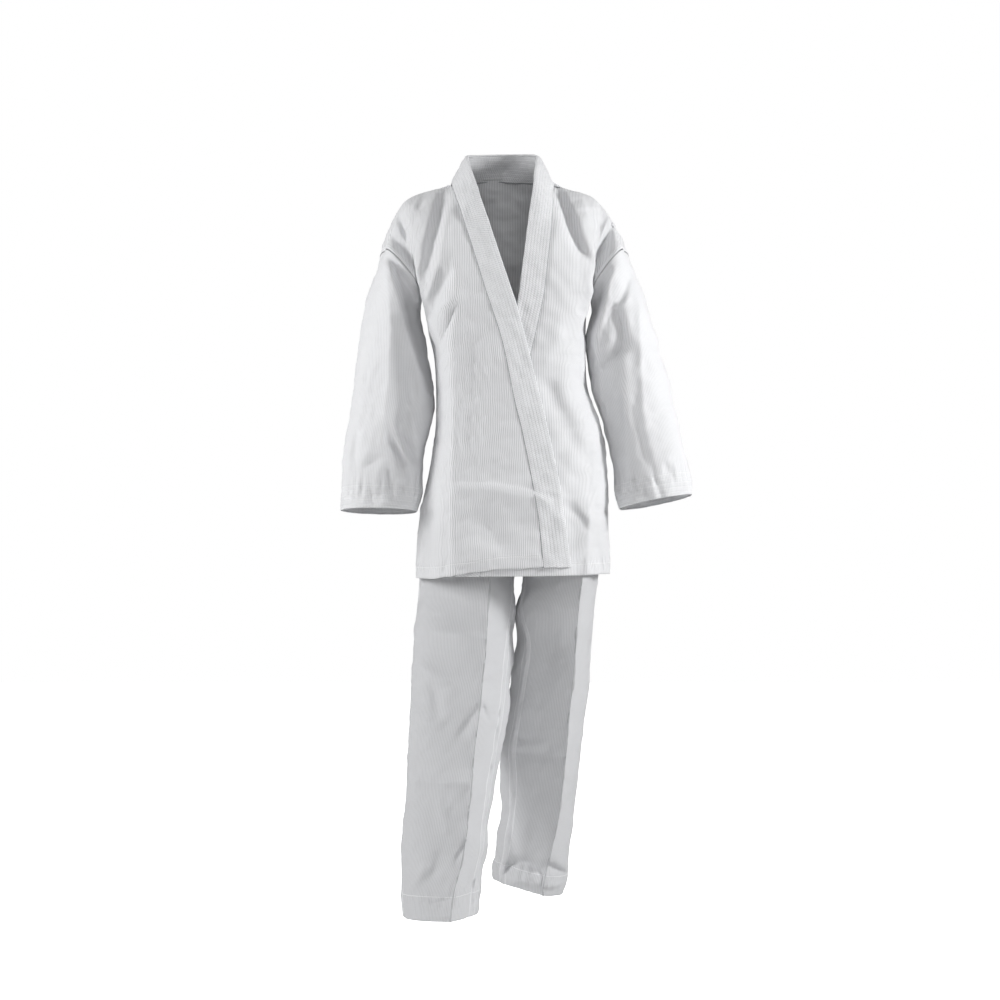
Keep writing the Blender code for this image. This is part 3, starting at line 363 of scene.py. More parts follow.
LEFT_LEG_FOLDS = (
    ("knee hollow a", 0.014, -0.937, 0.027, -0.937, 0.041, -0.943, 0.008, 0.010, -0.0050, 1.6, 0.3, 0.5),
    ("knee hollow b", 0.012, -0.954, 0.034, -0.969, 0.082, -0.960, 0.010, 0.014, -0.0063, 1.6, 0.4, 0.6),
    ("knee lip", 0.017, -0.947, 0.041, -0.954, 0.076, -0.947, 0.005, 0.007, 0.0037, 1.5, 0.3, 0.4),
    ("knee line", 0.068, -0.969, 0.102, -0.974, 0.139, -0.964, 0.007, 0.008, -0.0040, 1.1, 0.3, 0.6),
    ("thigh wave", 0.082, -0.702, 0.070, -0.804, 0.078, -0.923, 0.022, 0.022, -0.0050, 2.0, 0.1, 0.1),
    ("shin wave", 0.051, -1.050, 0.034, -1.093, 0.031, -1.144, 0.015, 0.015, 0.0060, 2.0, 0.1, 0.2),
    ("shin hollow", 0.017, -1.093, 0.024, -1.119, 0.027, -1.144, 0.008, 0.008, -0.0060, 1.8, 0.2, 0.2),
    ("ankle hollow", 0.005, -1.164, 0.042, -1.132, 0.076, -1.171, 0.014, 0.007, -0.0180, 1.5, 0.3, 0.5),
    ("ankle bulge", 0.014, -1.185, 0.048, -1.168, 0.073, -1.192, 0.010, 0.008, 0.0075, 1.6, 0.3, 0.3),
    ("ankle hollow outer", 0.078, -1.154, 0.095, -1.159, 0.114, -1.171, 0.007, 0.007, -0.0160, 1.8, 0.5, 0.5),
    ("ankle swell outer", 0.078, -1.188, 0.092, -1.185, 0.107, -1.178, 0.008, 0.007, 0.0120, 1.8, 0.4, 0.4),
    ("ankle crease", 0.073, -1.171, 0.070, -1.185, 0.071, -1.204, 0.004, 0.004, -0.0060, 1.4, 0.5, 0.3),
    ("seam nick", 0.002, -0.957, 0.014, -0.962, 0.022, -0.974, 0.005, 0.005, -0.0050, 1.6, 0.6, 0.2),
)
BACK_FOLDS = (
    ("right blade", -0.128, -0.110, -0.098, -0.230, -0.078, -0.372, 0.022, 0.017, -0.0150, 1.8, 0.3, 0.1),
    ("left blade", 0.142, -0.112, 0.116, -0.240, 0.096, -0.392, 0.018, 0.023, -0.0160, 1.8, 0.3, 0.1),
    ("right blade lip", -0.150, -0.130, -0.122, -0.250, -0.104, -0.360, 0.013, 0.011, 0.0080, 1.6, 0.2, 0.1),
    ("left blade lip", 0.166, -0.130, 0.140, -0.262, 0.122, -0.370, 0.011, 0.013, 0.0080, 1.6, 0.2, 0.1),
    ("spine", -0.014, -0.060, -0.008, -0.200, -0.020, -0.340, 0.030, 0.026, -0.0090, 2.0, 0.2, 0.1),
    ("neck pull right", -0.060, 0.000, -0.074, -0.045, -0.098, -0.080, 0.010, 0.012, -0.0070, 1.8, 0.5, 0.1),
    ("neck pull left", 0.070, 0.000, 0.086, -0.050, 0.106, -0.084, 0.012, 0.010, -0.0064, 1.8, 0.5, 0.1),
    ("right press line", -0.072, -0.330, -0.073, -0.500, -0.071, -0.668, 0.016, 0.013, 0.0044, 1.0, 0.1, 1.0),
    ("left press line", 0.088, -0.300, 0.087, -0.480, 0.089, -0.668, 0.013, 0.017, 0.0044, 1.0, 0.1, 1.0),
    ("pressed level", -0.110, -0.500, 0.015, -0.494, 0.150, -0.506, 0.011, 0.011, 0.0028, 1.0, 0.3, 0.3),
    ("waist wave", -0.070, -0.400, 0.010, -0.424, 0.110, -0.404, 0.026, 0.022, -0.0060, 2.0, 0.1, 0.1),
    ("waist wave low", -0.040, -0.452, 0.040, -0.462, 0.130, -0.440, 0.020, 0.024, 0.0044, 2.0, 0.1, 0.1),
    ("hem roll right", -0.046, -0.430, -0.060, -0.560, -0.050, -0.668, 0.022, 0.026, -0.0120, 2.0, 0.1, 1.0),
    ("hem roll left", 0.058, -0.440, 0.070, -0.560, 0.054, -0.668, 0.026, 0.020, -0.0128, 2.0, 0.1, 1.0),
    ("hem swell", 0.008, -0.480, 0.004, -0.580, 0.008, -0.668, 0.024, 0.024, 0.0060, 2.0, 0.1, 1.0),
    ("side roll", 0.150, -0.470, 0.158, -0.570, 0.150, -0.668, 0.012, 0.016, -0.0100, 2.0, 0.1, 1.0),
)
RIGHT_SLEEVE_BACK = (
    ("seam pull", -0.176, -0.140, -0.168, -0.190, -0.150, -0.240, 0.012, 0.012, -0.0100, 1.8, 0.5, 0.1),
    ("long roll", -0.204, -0.150, -0.206, -0.250, -0.176, -0.356, 0.017, 0.014, 0.0100, 1.7, 0.2, 0.1),
    ("elbow roll", -0.236, -0.352, -0.200, -0.372, -0.150, -0.362, 0.013, 0.014, -0.0112, 1.8, 0.1, 0.2),
    ("elbow ridge", -0.240, -0.384, -0.200, -0.402, -0.146, -0.392, 0.012, 0.012, 0.0080, 1.7, 0.1, 0.2),
    ("low wave", -0.226, -0.420, -0.206, -0.460, -0.170, -0.492, 0.014, 0.014, -0.0068, 2.0, 0.1, 0.1),
)
LEFT_SLEEVE_BACK = (
    ("seam pull", 0.196, -0.142, 0.186, -0.190, 0.172, -0.236, 0.012, 0.012, -0.0100, 1.8, 0.5, 0.1),
    ("long roll", 0.226, -0.150, 0.234, -0.250, 0.216, -0.352, 0.014, 0.017, 0.0096, 1.7, 0.2, 0.1),
    ("elbow roll", 0.270, -0.336, 0.236, -0.362, 0.190, -0.356, 0.014, 0.013, -0.0112, 1.8, 0.1, 0.2),
    ("elbow ridge", 0.282, -0.368, 0.246, -0.394, 0.196, -0.386, 0.012, 0.012, 0.0076, 1.7, 0.1, 0.2),
    ("low wave", 0.292, -0.410, 0.262, -0.452, 0.224, -0.476, 0.014, 0.014, -0.0068, 2.0, 0.1, 0.1),
)
RIGHT_LEG_BACK = (
    ("seat pull", 0.010, -0.640, -0.040, -0.690, -0.100, -0.700, 0.018, 0.016, -0.0092, 1.9, 0.4, 0.1),
    ("knee back", -0.020, -0.860, -0.070, -0.880, -0.130, -0.868, 0.018, 0.016, -0.0115, 1.8, 0.3, 0.1),
    ("knee back ridge", -0.016, -0.900, -0.070, -0.918, -0.132, -0.902, 0.016, 0.016, 0.0078, 1.8, 0.2, 0.1),
    ("pressed level", -0.150, -1.008, -0.090, -1.014, -0.012, -1.004, 0.011, 0.010, -0.0041, 1.0, 0.4, 0.4),
    ("calf slant", -0.120, -1.060, -0.094, -1.110, -0.070, -1.140, 0.014, 0.014, -0.0055, 1.9, 0.1, 0.1),
)
LEFT_LEG_BACK = (
    ("seat pull", 0.040, -0.640, 0.090, -0.692, 0.146, -0.700, 0.016, 0.018, -0.0092, 1.9, 0.4, 0.1),
    ("knee back", 0.030, -0.850, 0.080, -0.872, 0.136, -0.858, 0.018, 0.016, -0.0115, 1.8, 0.3, 0.1),
    ("knee back ridge", 0.028, -0.890, 0.080, -0.910, 0.134, -0.896, 0.016, 0.016, 0.0078, 1.8, 0.2, 0.1),
    ("pressed level", 0.004, -0.990, 0.060, -0.996, 0.128, -0.986, 0.011, 0.010, -0.0041, 1.0, 0.4, 0.4),
    ("calf slant", 0.100, -1.050, 0.078, -1.100, 0.050, -1.130, 0.014, 0.014, -0.0055, 1.9, 0.1, 0.1),
)


# Curves and sections.


def read_table(rows, at):
    """The columns of a table at any places along its first column, on smooth curves through the rows."""
    table = np.array(rows, float)
    place = table[:, 0]
    count = len(place)
    at = np.asarray(at, float)
    low = np.clip(np.searchsorted(place, at, side="right") - 1, 0, count - 2)
    before = np.maximum(np.arange(count) - 1, 0)
    after = np.minimum(np.arange(count) + 1, count - 1)
    rise = (table[after, 1:] - table[before, 1:]) / (place[after] - place[before])[:, None]
    span = (place[low + 1] - place[low])[..., None]
    s = (at - place[low])[..., None] / span
    start = (2 * s ** 3 - 3 * s ** 2 + 1) * table[low, 1:] + (s ** 3 - 2 * s ** 2 + s) * span * rise[low]
    end = (3 * s ** 2 - 2 * s ** 3) * table[low + 1, 1:] + (s ** 3 - s ** 2) * span * rise[low + 1]
    return np.moveaxis(start + end, -1, 0)


def ramp(value, low, high):
    s = np.clip((value - low) / (high - low), 0.0, 1.0)
    return s * s * (3 - 2 * s)


def signed_power(value, power):
    return np.sign(value) * np.abs(value) ** power


def points(x, y, z):
    return np.stack(np.broadcast_arrays(x, y, z), axis=-1).astype(float)


def length(vectors):
    return np.sqrt((vectors ** 2).sum(axis=-1))


def torso_point(height, angle):
    """Points of the body's sections: angle 0 is centre front, 90 degrees the left side, 180 centre back."""
    height, angle = np.broadcast_arrays(height, angle)
    right, left, front, back = read_table(TORSO_SECTIONS, height)
    side = np.sin(angle)
    across = (left + right) / 2 + (left - right) / 2 * signed_power(side, SECTION_POWER)
    depth = signed_power(np.cos(angle), SECTION_POWER)
    tuck = ARMPIT_TUCK * np.exp(-((height - ARMPIT) / 0.075) ** 2) * ramp(np.abs(side), 0.88, 0.995)
    across = across - tuck * np.where(side > 0, 1, -1)
    return points(across, -depth * np.where(depth > 0, front, back), height)


def front_angle(height, across):
    right, left, _, _ = read_table(TORSO_SECTIONS, height)
    share = (across - (left + right) / 2) / ((left - right) / 2)
    return np.arcsin(signed_power(np.clip(share, -1, 1), 1 / SECTION_POWER))


def seam_break(yoke):
    neck, shoulder, drop = (np.array(yoke[key]) for key in ("neck", "shoulder", "drop"))
    inner = length(shoulder - neck)
    return inner / (inner + length(drop - shoulder))


def shoulder_seam(yoke, share):
    rows = ((0.0, *yoke["neck"]), (seam_break(yoke), *yoke["shoulder"]), (1.0, *yoke["drop"]))
    return np.moveaxis(read_table(rows, share), 0, -1)


def armhole(yoke, turn):
    """The armhole: turn 0 is the armpit, and half a turn over the front reaches the shoulder seam's end."""
    turn = np.asarray(turn, float)[..., None]
    pit = torso_point(ARMPIT, radians(90) * yoke["side"])
    drop = np.array(yoke["drop"])
    ahead = np.sin(turn) >= 0
    reach = np.where(ahead, yoke["forward"], yoke["backward"])
    bow = np.where(ahead, np.array((0.0, -0.93, 0.2)), np.array((-yoke["side"] * 0.42, -0.93, 0.0))) * reach
    return (pit + drop) / 2 + (pit - drop) / 2 * np.cos(turn) + bow * np.sin(turn)


def strip_angle(yoke, share, start, end):
    turn = seam_break(yoke)
    middle = start + (end - start) * 0.74
    return np.where(
        share < turn,
        start + (middle - start) * share / turn,
        middle + (end - middle) * (share - turn) / (1 - turn),
    )


def over_shoulder(start, end, rise, roll):
    """From the armpit level to the shoulder seam. Roll 1 rounds the way like a quarter ellipse."""
    up = roll * np.sin(rise * pi / 2) + (1 - roll) * rise
    back = roll * (1 - np.cos(rise * pi / 2)) + (1 - roll) * rise ** 2
    return start + (end - start) * np.stack(np.broadcast_arrays(up, back, up), axis=-1)


def yoke_point(yoke, start, end, share, rise, roll, face):
    """Points above the armpits. Beyond the shoulder point the strips bend to the armhole."""
    point = over_shoulder(start, end, rise, roll)
    turn = seam_break(yoke)
    beyond = np.clip((share - turn) / (1 - turn), 0, 1)[..., None]
    pit = torso_point(ARMPIT, radians(90) * yoke["side"])
    shift = armhole(yoke, face * pi * rise) - over_shoulder(pit, np.array(yoke["drop"]), rise, roll)
    middle = np.sin(pi * rise)[..., None] * 4 * beyond * (1 - beyond)
    swell = np.array((0, FRONT_HOLLOW, 0) if face > 0 else (yoke["side"] * CAP_BULGE, 0, 0))
    return point + shift * beyond ** 1.3 + swell * middle


def row_height(yoke, level, share):
    inner, outer = yoke["hem"]
    hem = inner + (outer - inner) * ramp(share, 0.0, 0.45)
    return ARMPIT + (ARMPIT - hem) * np.minimum(level, 0)


def spaced(total, step, fine_start=0.0, fine_end=0.0, fine=0.0012):
    """Places from 0 to total, a step apart, and closer for some way from each end."""
    start = np.arange(0, fine_start, fine) if fine_start else np.zeros(1)
    end = total - np.arange(0, fine_end, fine)[::-1] if fine_end else np.array([total])
    inner = end[0] - start[-1]
    count = max(2, int(round(inner / step)))
    between = start[-1] + inner * np.arange(1, count) / count
    return np.concatenate([start, between, end])


def body_levels(fine_top):
    """Rows of a body panel: below 0 from the hem to the armpit, above 0 from there to the shoulder seam."""
    lower = spaced(0.48, 0.0036, fine_start=0.024) / 0.48 - 1
    upper = spaced(0.20, 0.0034, fine_end=fine_top) / 0.20
    return np.concatenate([lower, upper[1:]])


def vent(height):
    return VENT_GAP / 2 * ramp(-height, -VENT_TOP, -VENT_TOP + 0.07)


def front_grid(name):
    """A front: rows from the hem, each from under the collar band to the side."""
    yoke = YOKES[name]
    side = yoke["side"]
    level = body_levels(0.012)[:, None]
    share = (spaced(0.275, 0.0031, fine_end=0.013) / 0.265 - 0.01 / 0.265)[None, :]
    share = share / share[0, -1]
    height = row_height(yoke, level, share)
    seam_x = read_table(yoke["band"], height)[0]
    start = front_angle(height, seam_x) * side
    grid = torso_point(height, strip_angle(yoke, share, start, radians(90)) * side)
    grid[:, -1, 1] -= vent(grid[:, -1, 2])
    level, share = np.broadcast_arrays(level, share)
    high = yoke_point(yoke, grid, shoulder_seam(yoke, share), share, np.maximum(level, 0), 1.0, 1)
    return np.where(level[..., None] > 0, high, grid)


def back_half_grid(name):
    """Half the back: rows from the hem, each from the centre to the side."""
    yoke = YOKES[name]
    side = yoke["side"]
    level = body_levels(0.012)[:, None]
    neck_share = np.arange(NECK_COLUMNS) / NECK_COLUMNS
    seam_share = spaced(0.215, 0.0034, fine_end=0.013) / 0.215
    neck = np.concatenate([neck_share, np.ones(len(seam_share))])[None, :]
    share = np.concatenate([np.zeros(NECK_COLUMNS), seam_share])[None, :]
    height = row_height(yoke, level, np.ones_like(share))
    neck_angle = radians(NECK_ANGLE)
    angle = np.where(
        neck < 1,
        radians(180) + (neck_angle - radians(180)) * neck,
        strip_angle(yoke, share, neck_angle, radians(90)),
    )
    grid = torso_point(height, angle * side)
    grid[:, -1, 1] += vent(grid[:, -1, 2])
    level, neck, share = np.broadcast_arrays(level, neck, share)
    end = np.where((neck < 1)[..., None], neck_arc(neck, yoke["neck"], NECK_BACK), shoulder_seam(yoke, share))
    place = np.arange(neck.shape[1]) / (neck.shape[1] - 1)
    roll = 0.25 + 0.75 * ramp(place, 0.0, 0.25)
    high = yoke_point(yoke, grid, end, share, np.maximum(level, 0), roll[None, :], -1)
    return np.where(level[..., None] > 0, high, grid)


def back_grid():
    right, left = back_half_grid("right"), back_half_grid("left")
    middle = (right[:, :1] + left[:, :1]) / 2
    return np.concatenate([right[:, :0:-1], middle, left[:, 1:]], axis=1)


def neck_arc(share, side_point, back_point):
    """From centre back, share 0, round to the side of the neck, share 1."""
    turn = np.asarray(share) * pi / 2
    side_point, back_point = np.array(side_point), np.array(back_point)
    weights = np.stack([np.sin(turn), 1 - np.cos(turn), 1 - np.cos(turn)], axis=-1)
    return back_point + (side_point - back_point) * weights


def sleeve_grid(name):
    """A sleeve: rings from the armhole to the cuff, each from the armpit over the front."""
    yoke = YOKES[name]
    pit = torso_point(ARMPIT, radians(90) * yoke["side"])
    centre = (pit + np.array(yoke["drop"])) / 2
    ahead, behind = armhole(yoke, pi / 2) - centre, armhole(yoke, -pi / 2) - centre
    rows = [(0.0, *centre, *(pit - centre), *ahead, *behind)]
    for station, height, outer, inner, middle_y, depth, inner_up, front_up in SLEEVE_SECTIONS[name]:
        rows.append((
            station, (outer + inner) / 2, middle_y, height, (inner - outer) / 2, 0.0, inner_up,
            0.0, -depth, front_up, 0.0, depth, -front_up,
        ))
    station = spaced(0.44, 0.0034, fine_start=0.010, fine_end=0.044) / 0.44
    station = 0.003 + 0.997 * station
    values = np.moveaxis(read_table(rows, station), 0, -1)[:, None, :]
    middle, inward, forward, backward = (values[..., i:i + 3] for i in (0, 3, 6, 9))
    turn = (2 * pi * np.arange(SLEEVE_RING) / SLEEVE_RING)[None, :, None]
    reach = np.where(turn <= pi, forward * np.sin(turn), backward * -np.sin(turn))
    return middle + inward * np.cos(turn) + reach


def band_grid():
    """The collar band: rows from the right hem round the neck to the left, each from seam to free edge."""
    across = np.concatenate([np.linspace(0, 0.94, 44), 1 - 0.06 * (1 - np.arange(1, 8) / 7) ** 1.5])[None, :]
    parts = []
    for name in ("right", "left"):
        yoke = YOKES[name]
        level = body_levels(0.0)[:, None]
        height = row_height(yoke, level, np.zeros_like(level))
        seam_x, free_x = read_table(yoke["band"], height)
        x = seam_x + (free_x - seam_x) * across
        grid = torso_point(np.broadcast_to(height, x.shape), front_angle(height, x))
        level, _ = np.broadcast_arrays(level, across)
        neck, collar = np.array(yoke["neck"]), np.array(yoke["collar"])
        end = neck + (collar - neck) * across[..., None]
        high = over_shoulder(grid, end, np.maximum(level, 0), 1.0)
        front = np.where(level[..., None] > 0, high, grid)
        share = 1 - np.arange(1, NECK_ROWS + (name == "right"))[:, None] / NECK_ROWS
        seam = neck_arc(share, yoke["neck"], NECK_BACK)
        free = neck_arc(share, yoke["collar"], COLLAR_BACK)
        tucked = across - NECK_TUCK * (1 - ramp(across, 0.0, 0.35)) * ramp(1 - share, 0.0, 0.12)
        parts.append(np.concatenate([front, seam + (free - seam) * tucked[..., None]]))
    return np.concatenate([parts[0], parts[1][::-1]])


def leg_section(name, height, turn):
    outer, inner, middle_y, crease, depth = read_table(LEG_SECTIONS[name], height)
    spine = crease + ((outer + inner) / 2 - crease) * (1 - np.cos(turn)) / 2
    across = spine + (np.where(turn >= 0, outer, inner) - spine) * np.sin(turn) ** 2
    level_at, rise = HEM_SLOPES[name]
    hem = LEG_SECTIONS[name][0][0]
    lean = (across - level_at) * rise * (1 - ramp(height, hem, hem + 0.12))
    return points(across, middle_y - depth * np.cos(turn), height + lean)


def hip_section(name, height, turn):
    rows = ((HIP, 0.143, 0.110, 0.118), (-0.40, 0.128, 0.100, 0.106), (WAIST, 0.112, 0.092, 0.092))
    half, front, back = read_table(rows, height)
    side = -1 if name == "right" else 1
    depth = signed_power(np.cos(turn), 0.9)
    across = TROUSER_CENTRE + side * (TROUSER_GAP + half * np.abs(np.sin(turn)) ** 0.9)
    return points(across, -depth * np.where(depth > 0, front, back), height)


def leg_places(crease_share):
    """Places across a leg panel, 0 at the outer seam and 1 at the inner one, close together at the seams."""
    outer = spaced(0.13, 0.0042, fine_start=0.010, fine_end=0.007) / 0.13 * crease_share
    inner = crease_share + spaced(0.13, 0.0042, fine_start=0.005, fine_end=0.012) / 0.13 * (1 - crease_share)
    return np.concatenate([outer, inner[1:]])


def leg_grid(name, face):
    """A leg panel: rows from the hem to the waist. Face 1 is the front, -1 the back."""
    hem = LEG_SECTIONS[name][0][0]
    side = -1 if name == "right" else 1
    place = leg_places(0.5)[None, :]
    height = (hem + spaced(LEG_TOP - hem, 0.0040, fine_start=0.046, fine=0.0016))[:, None]
    inseam = radians(62) + radians(28) * ramp(height, -0.80, LEG_TOP)
    outseam = radians(OUTSEAM)
    crease, inner = (0.0, -inseam) if face > 0 else (pi, 2 * pi - inseam)
    turn = np.where(
        place <= 0.5,
        outseam + (crease - outseam) * place * 2,
        crease + (inner - crease) * (place * 2 - 1),
    )
    turn = np.where(turn > pi, turn - 2 * pi, turn)
    height, turn = np.broadcast_arrays(height, turn)
    leg = leg_section(name, height, turn)
    across = outseam * (1 - place) if face > 0 else outseam + radians(180 - OUTSEAM) * place
    low = leg[-1:]
    high = hip_section(name, HIP, across)
    share = (np.arange(1, 15) / 14)[:, None]
    fork = points(
        TROUSER_CENTRE + side * TROUSER_GAP,
        high[0, -1, 1] * np.sin(share * pi / 2),
        CROTCH + (HIP - CROTCH) * (1 - np.cos(share * pi / 2)),
    )
    seat = low + (high - low) * share[..., None]
    seat = seat + (fork - seat[:, -1:]) * (place ** 3)[..., None]
    height = (HIP + (WAIST - HIP) * np.arange(1, 25) / 24)[:, None]
    hips = hip_section(name, *np.broadcast_arrays(height, across))
    return np.concatenate([leg, seat, hips])


def waistband_grid():
    height = np.linspace(WAIST + 0.0003, BAND_TOP, 12)[:, None]
    turn = (2 * pi * np.arange(WAIST_RING) / WAIST_RING)[None, :]
    return points(TROUSER_CENTRE + 0.112 * np.sin(turn), -0.092 * np.cos(turn), height)


# Lengths over the cloth, and what is pressed into it.


def run(grid, axis):
    """The length walked over the grid from its first row or column to each point."""
    steps = length(np.diff(grid, axis=axis))
    start = np.zeros_like(np.take(steps, [0], axis=axis))
    return np.concatenate([start, np.cumsum(steps, axis=axis)], axis=axis)


def normals(grid, closed):
    if closed:
        along = np.roll(grid, -1, axis=1) - np.roll(grid, 1, axis=1)
    else:
        along = np.gradient(grid, axis=1)
    cross = np.cross(along, np.gradient(grid, axis=0))
    return cross / np.maximum(length(cross), 1e-12)[..., None]


def fold_field(folds, x, z):
    """How far a table of folds lifts the points of a view."""
    total = np.zeros_like(x)
    steps = 16
    s = np.linspace(0, 1, steps + 1)
    for _, sx, sz, bx, bz, ex, ez, left, right, rise, power, first, last in folds:
        line_x = (1 - s) ** 2 * sx + 2 * s * (1 - s) * bx + s ** 2 * ex
        line_z = (1 - s) ** 2 * sz + 2 * s * (1 - s) * bz + s ** 2 * ez
        nearest = np.full_like(x, 1e9)
        place = np.zeros_like(x)
        turn = np.zeros_like(x)
        for k in range(steps):
            dx, dz = line_x[k + 1] - line_x[k], line_z[k + 1] - line_z[k]
            t = np.clip(((x - line_x[k]) * dx + (z - line_z[k]) * dz) / (dx * dx + dz * dz), 0, 1)
            off_x, off_z = x - line_x[k] - t * dx, z - line_z[k] - t * dz
            away = off_x ** 2 + off_z ** 2
            closer = away < nearest
            nearest = np.where(closer, away, nearest)
            place = np.where(closer, (k + t) / steps, place)
            turn = np.where(closer, dx * off_z - dz * off_x, turn)
        blend = ramp(turn / np.sqrt(np.maximum(nearest, 1e-12)), -0.004, 0.004)
        width = right + (left - right) * blend
        swell = np.sin(pi * place) ** 0.8
        strength = swell + (1 - swell) * (first * (1 - place) + last * place)
        total += rise * strength * np.exp(-(np.sqrt(nearest) / width) ** power)
    return total


def unevenness(x, z, seed, height, size):
    """Soft random waves of the cloth."""
    random = np.random.default_rng(seed)
    total = np.zeros_like(x)
    for _ in range(WAVE_COUNT):
        heading, phase = random.uniform(0, pi), random.uniform(0, 2 * pi)
        wave = size * random.uniform(0.6, 1.9)
        bend = 0.35 * np.sin(x / wave * 2.1 + phase) + 0.35 * np.sin(z / wave * 1.7 - phase)
        along = x * np.cos(heading) + z * np.sin(heading)
        total += np.sin(along * 2 * pi / wave + phase + bend * 2) * wave / size
    return total * height / WAVE_COUNT ** 0.5


def pressed(grid, closed, front_folds, back_folds, seed, fade=1.0, waves=0.0013, fold_fade=None):
    """The grid with the cloth's own waves, and with folds, which move it forward or backward only."""
    normal = normals(grid, closed)
    lift = unevenness(grid[..., 0] + 0.7 * grid[..., 1], grid[..., 2], seed, waves, 0.060)
    lift += unevenness(grid[..., 0] - 0.8 * grid[..., 1], grid[..., 2], seed + 50, waves * 0.34, 0.017)
    moved = grid + normal * (lift * fade)[..., None]
    fold_fade = fade if fold_fade is None else fold_fade
    for folds, facing in ((front_folds, -1), (back_folds, 1)):
        if folds:
            scale = DISTANCE / (DISTANCE - facing * grid[..., 1])
            x, z = grid[..., 0] * scale, (grid[..., 2] - EYE) * scale + EYE
            push = fold_field(folds, x, z) * ramp(normal[..., 1] * facing, -0.25, 0.30) * fold_fade
            moved = moved + points(0 * push, facing * push, 0 * push)
    return moved


def armhole_share(z):
    """How much of the folds runs on over the armhole seam: none at the armpit and at the shoulder seam."""
    return ramp(z, -0.179, -0.160) * (1 - ramp(z, -0.135, -0.114))


def dip(distance, depth, width):
    return depth * np.exp(-(distance / width) ** 2)


def seam_form(distance, fell=FELL, rolled=0.0010):
    """A felled seam beside an edge: rolled in at the edge, proud to its row of stitches."""
    proud = 0.0007 * (1 - ramp(distance, fell - 0.0010, fell + 0.0012))
    return proud - dip(distance - fell + FELL_ROW, 0.00045, 0.0009) - dip(distance, rolled, 0.0016)


def pucker(along, distance, seed, reach, height=0.0007, wave=0.011):
    """Small ripples that stitching draws up, across a hem."""
    random = np.random.default_rng(seed)
    total = np.zeros_like(along)
    for _ in range(6):
        phase, size = random.uniform(0, 2 * pi), wave * random.uniform(0.6, 1.8)
        total += np.sin(along / size * 2 * pi + phase)
    return total * height / 2.4 * np.exp(-((distance - reach) / (0.6 * reach)) ** 2)


def hem_form(from_edge, along, depth, seed, rows=(), ripple=0.0009):
    """A turned-up hem: thicker, with its rows of stitches and their ripples, rounded at the fold."""
    thick = 0.0007 * (1 - ramp(from_edge, depth, depth + 0.0016))
    lift = thick - dip(from_edge, 0.0009, 0.0012)
    for row in (depth - HEM_ROW, *rows):
        lift = lift - dip(from_edge - row, ROW_DIP, ROW_SPREAD)
    return lift + pucker(along, from_edge, seed, depth * 0.9, ripple)


def wrap_lift(grid):
    return WRAP_LIFT * ramp(grid[..., 0], -0.118, -0.082) * ramp(-grid[..., 2], 0.10, 0.188)


# Meshes.


def make_sheet(name, grid, closed, thickness, material, cloth_uv, edge_uv):
    """A sheet of quads over a grid, thickened inwards, with lengths over the cloth as texture coordinates."""
    rows, columns = grid.shape[:2]
    width = columns if closed else columns - 1
    index = np.arange(rows * columns).reshape(rows, columns)
    next_column = np.roll(index, -1, axis=1)[:, :width] if closed else index[:, 1:]
    here = index[:, :width]
    faces = np.stack([here[:-1], next_column[:-1], next_column[1:], here[1:]], axis=-1).reshape(-1, 4)
    mesh = bpy.data.meshes.new(name)
    mesh.from_pydata(grid.reshape(-1, 3).tolist(), [], faces.tolist())
    for label, values in (("cloth", cloth_uv), ("edges", edge_uv)):
        layer = mesh.uv_layers.new(name=label)
        corners = np.stack([
            values[:-1, :width], values[:-1, 1:width + 1], values[1:, 1:width + 1], values[1:, :width],
        ], axis=2).reshape(-1, 2)
        layer.data.foreach_set("uv", corners.astype(np.float32).ravel())
    mesh.shade_smooth()
    mesh.materials.append(material)
    piece = bpy.data.objects.new(name, mesh)
    bpy.context.scene.collection.objects.link(piece)
    solid = piece.modifiers.new("Thickness", "SOLIDIFY")
    solid.thickness = thickness
    solid.offset = -1.0
    solid.use_even_offset = False
    solid.use_rim = True
    return piece


def around(values, total):
    """A closed grid's coordinate with its first column repeated at the end, a whole turn on."""
    return np.concatenate([values, values[:, :1] + total], axis=1)


def stacked(a, b):
    return np.stack(np.broadcast_arrays(a, b), axis=-1)


def flipped(*arrays):
    return [array[:, ::-1] for array in arrays]


def upright_grain(grid, line):
    """A coordinate across a body panel that stays the same along upright lines, so that ribs hang plumb."""
    across = run(grid[..., :2], 1)
    shift = np.array([np.interp(line, row[:, 0], place) for row, place in zip(grid, across)])
    grain = across - shift[:, None]
    pit = int(np.argmin(np.abs(grid[..., 2].mean(axis=1) - ARMPIT)))
    x = np.maximum.accumulate(grid[pit, :, 0])
    slope = np.clip(np.diff(grain[pit]) / np.maximum(np.diff(x), 1e-6), 1.0, 1.5)
    place = np.concatenate([[0.0], np.cumsum(slope * np.diff(x))])
    place = place - np.interp(line, x, place)
    x = np.concatenate([[x[0] - 0.1], x, [x[-1] + 0.1]])
    place = np.concatenate([[place[0] - 0.13], place, [place[-1] + 0.13]])
    upright = np.interp(grid[..., 0], x, place)
    share = ramp(np.arange(len(grid)) - pit, 0, 22)[:, None]
    return grain + (upright - grain) * share


# Materials.


def node_group(name, inputs, outputs):
    """An empty node group. An input is a number's name and value, or a vector's name and None."""
    group = bpy.data.node_groups.new(name, "ShaderNodeTree")
    for label, value in inputs:
        kind = "NodeSocketVector" if value is None else "NodeSocketFloat"
        socket = group.interface.new_socket(label, in_out="INPUT", socket_type=kind)
        if value is not None:
            socket.default_value = value
    for label in outputs:
        group.interface.new_socket(label, in_out="OUTPUT", socket_type="NodeSocketFloat")
    return group, group.nodes.new("NodeGroupInput").outputs, group.nodes.new("NodeGroupOutput").inputs


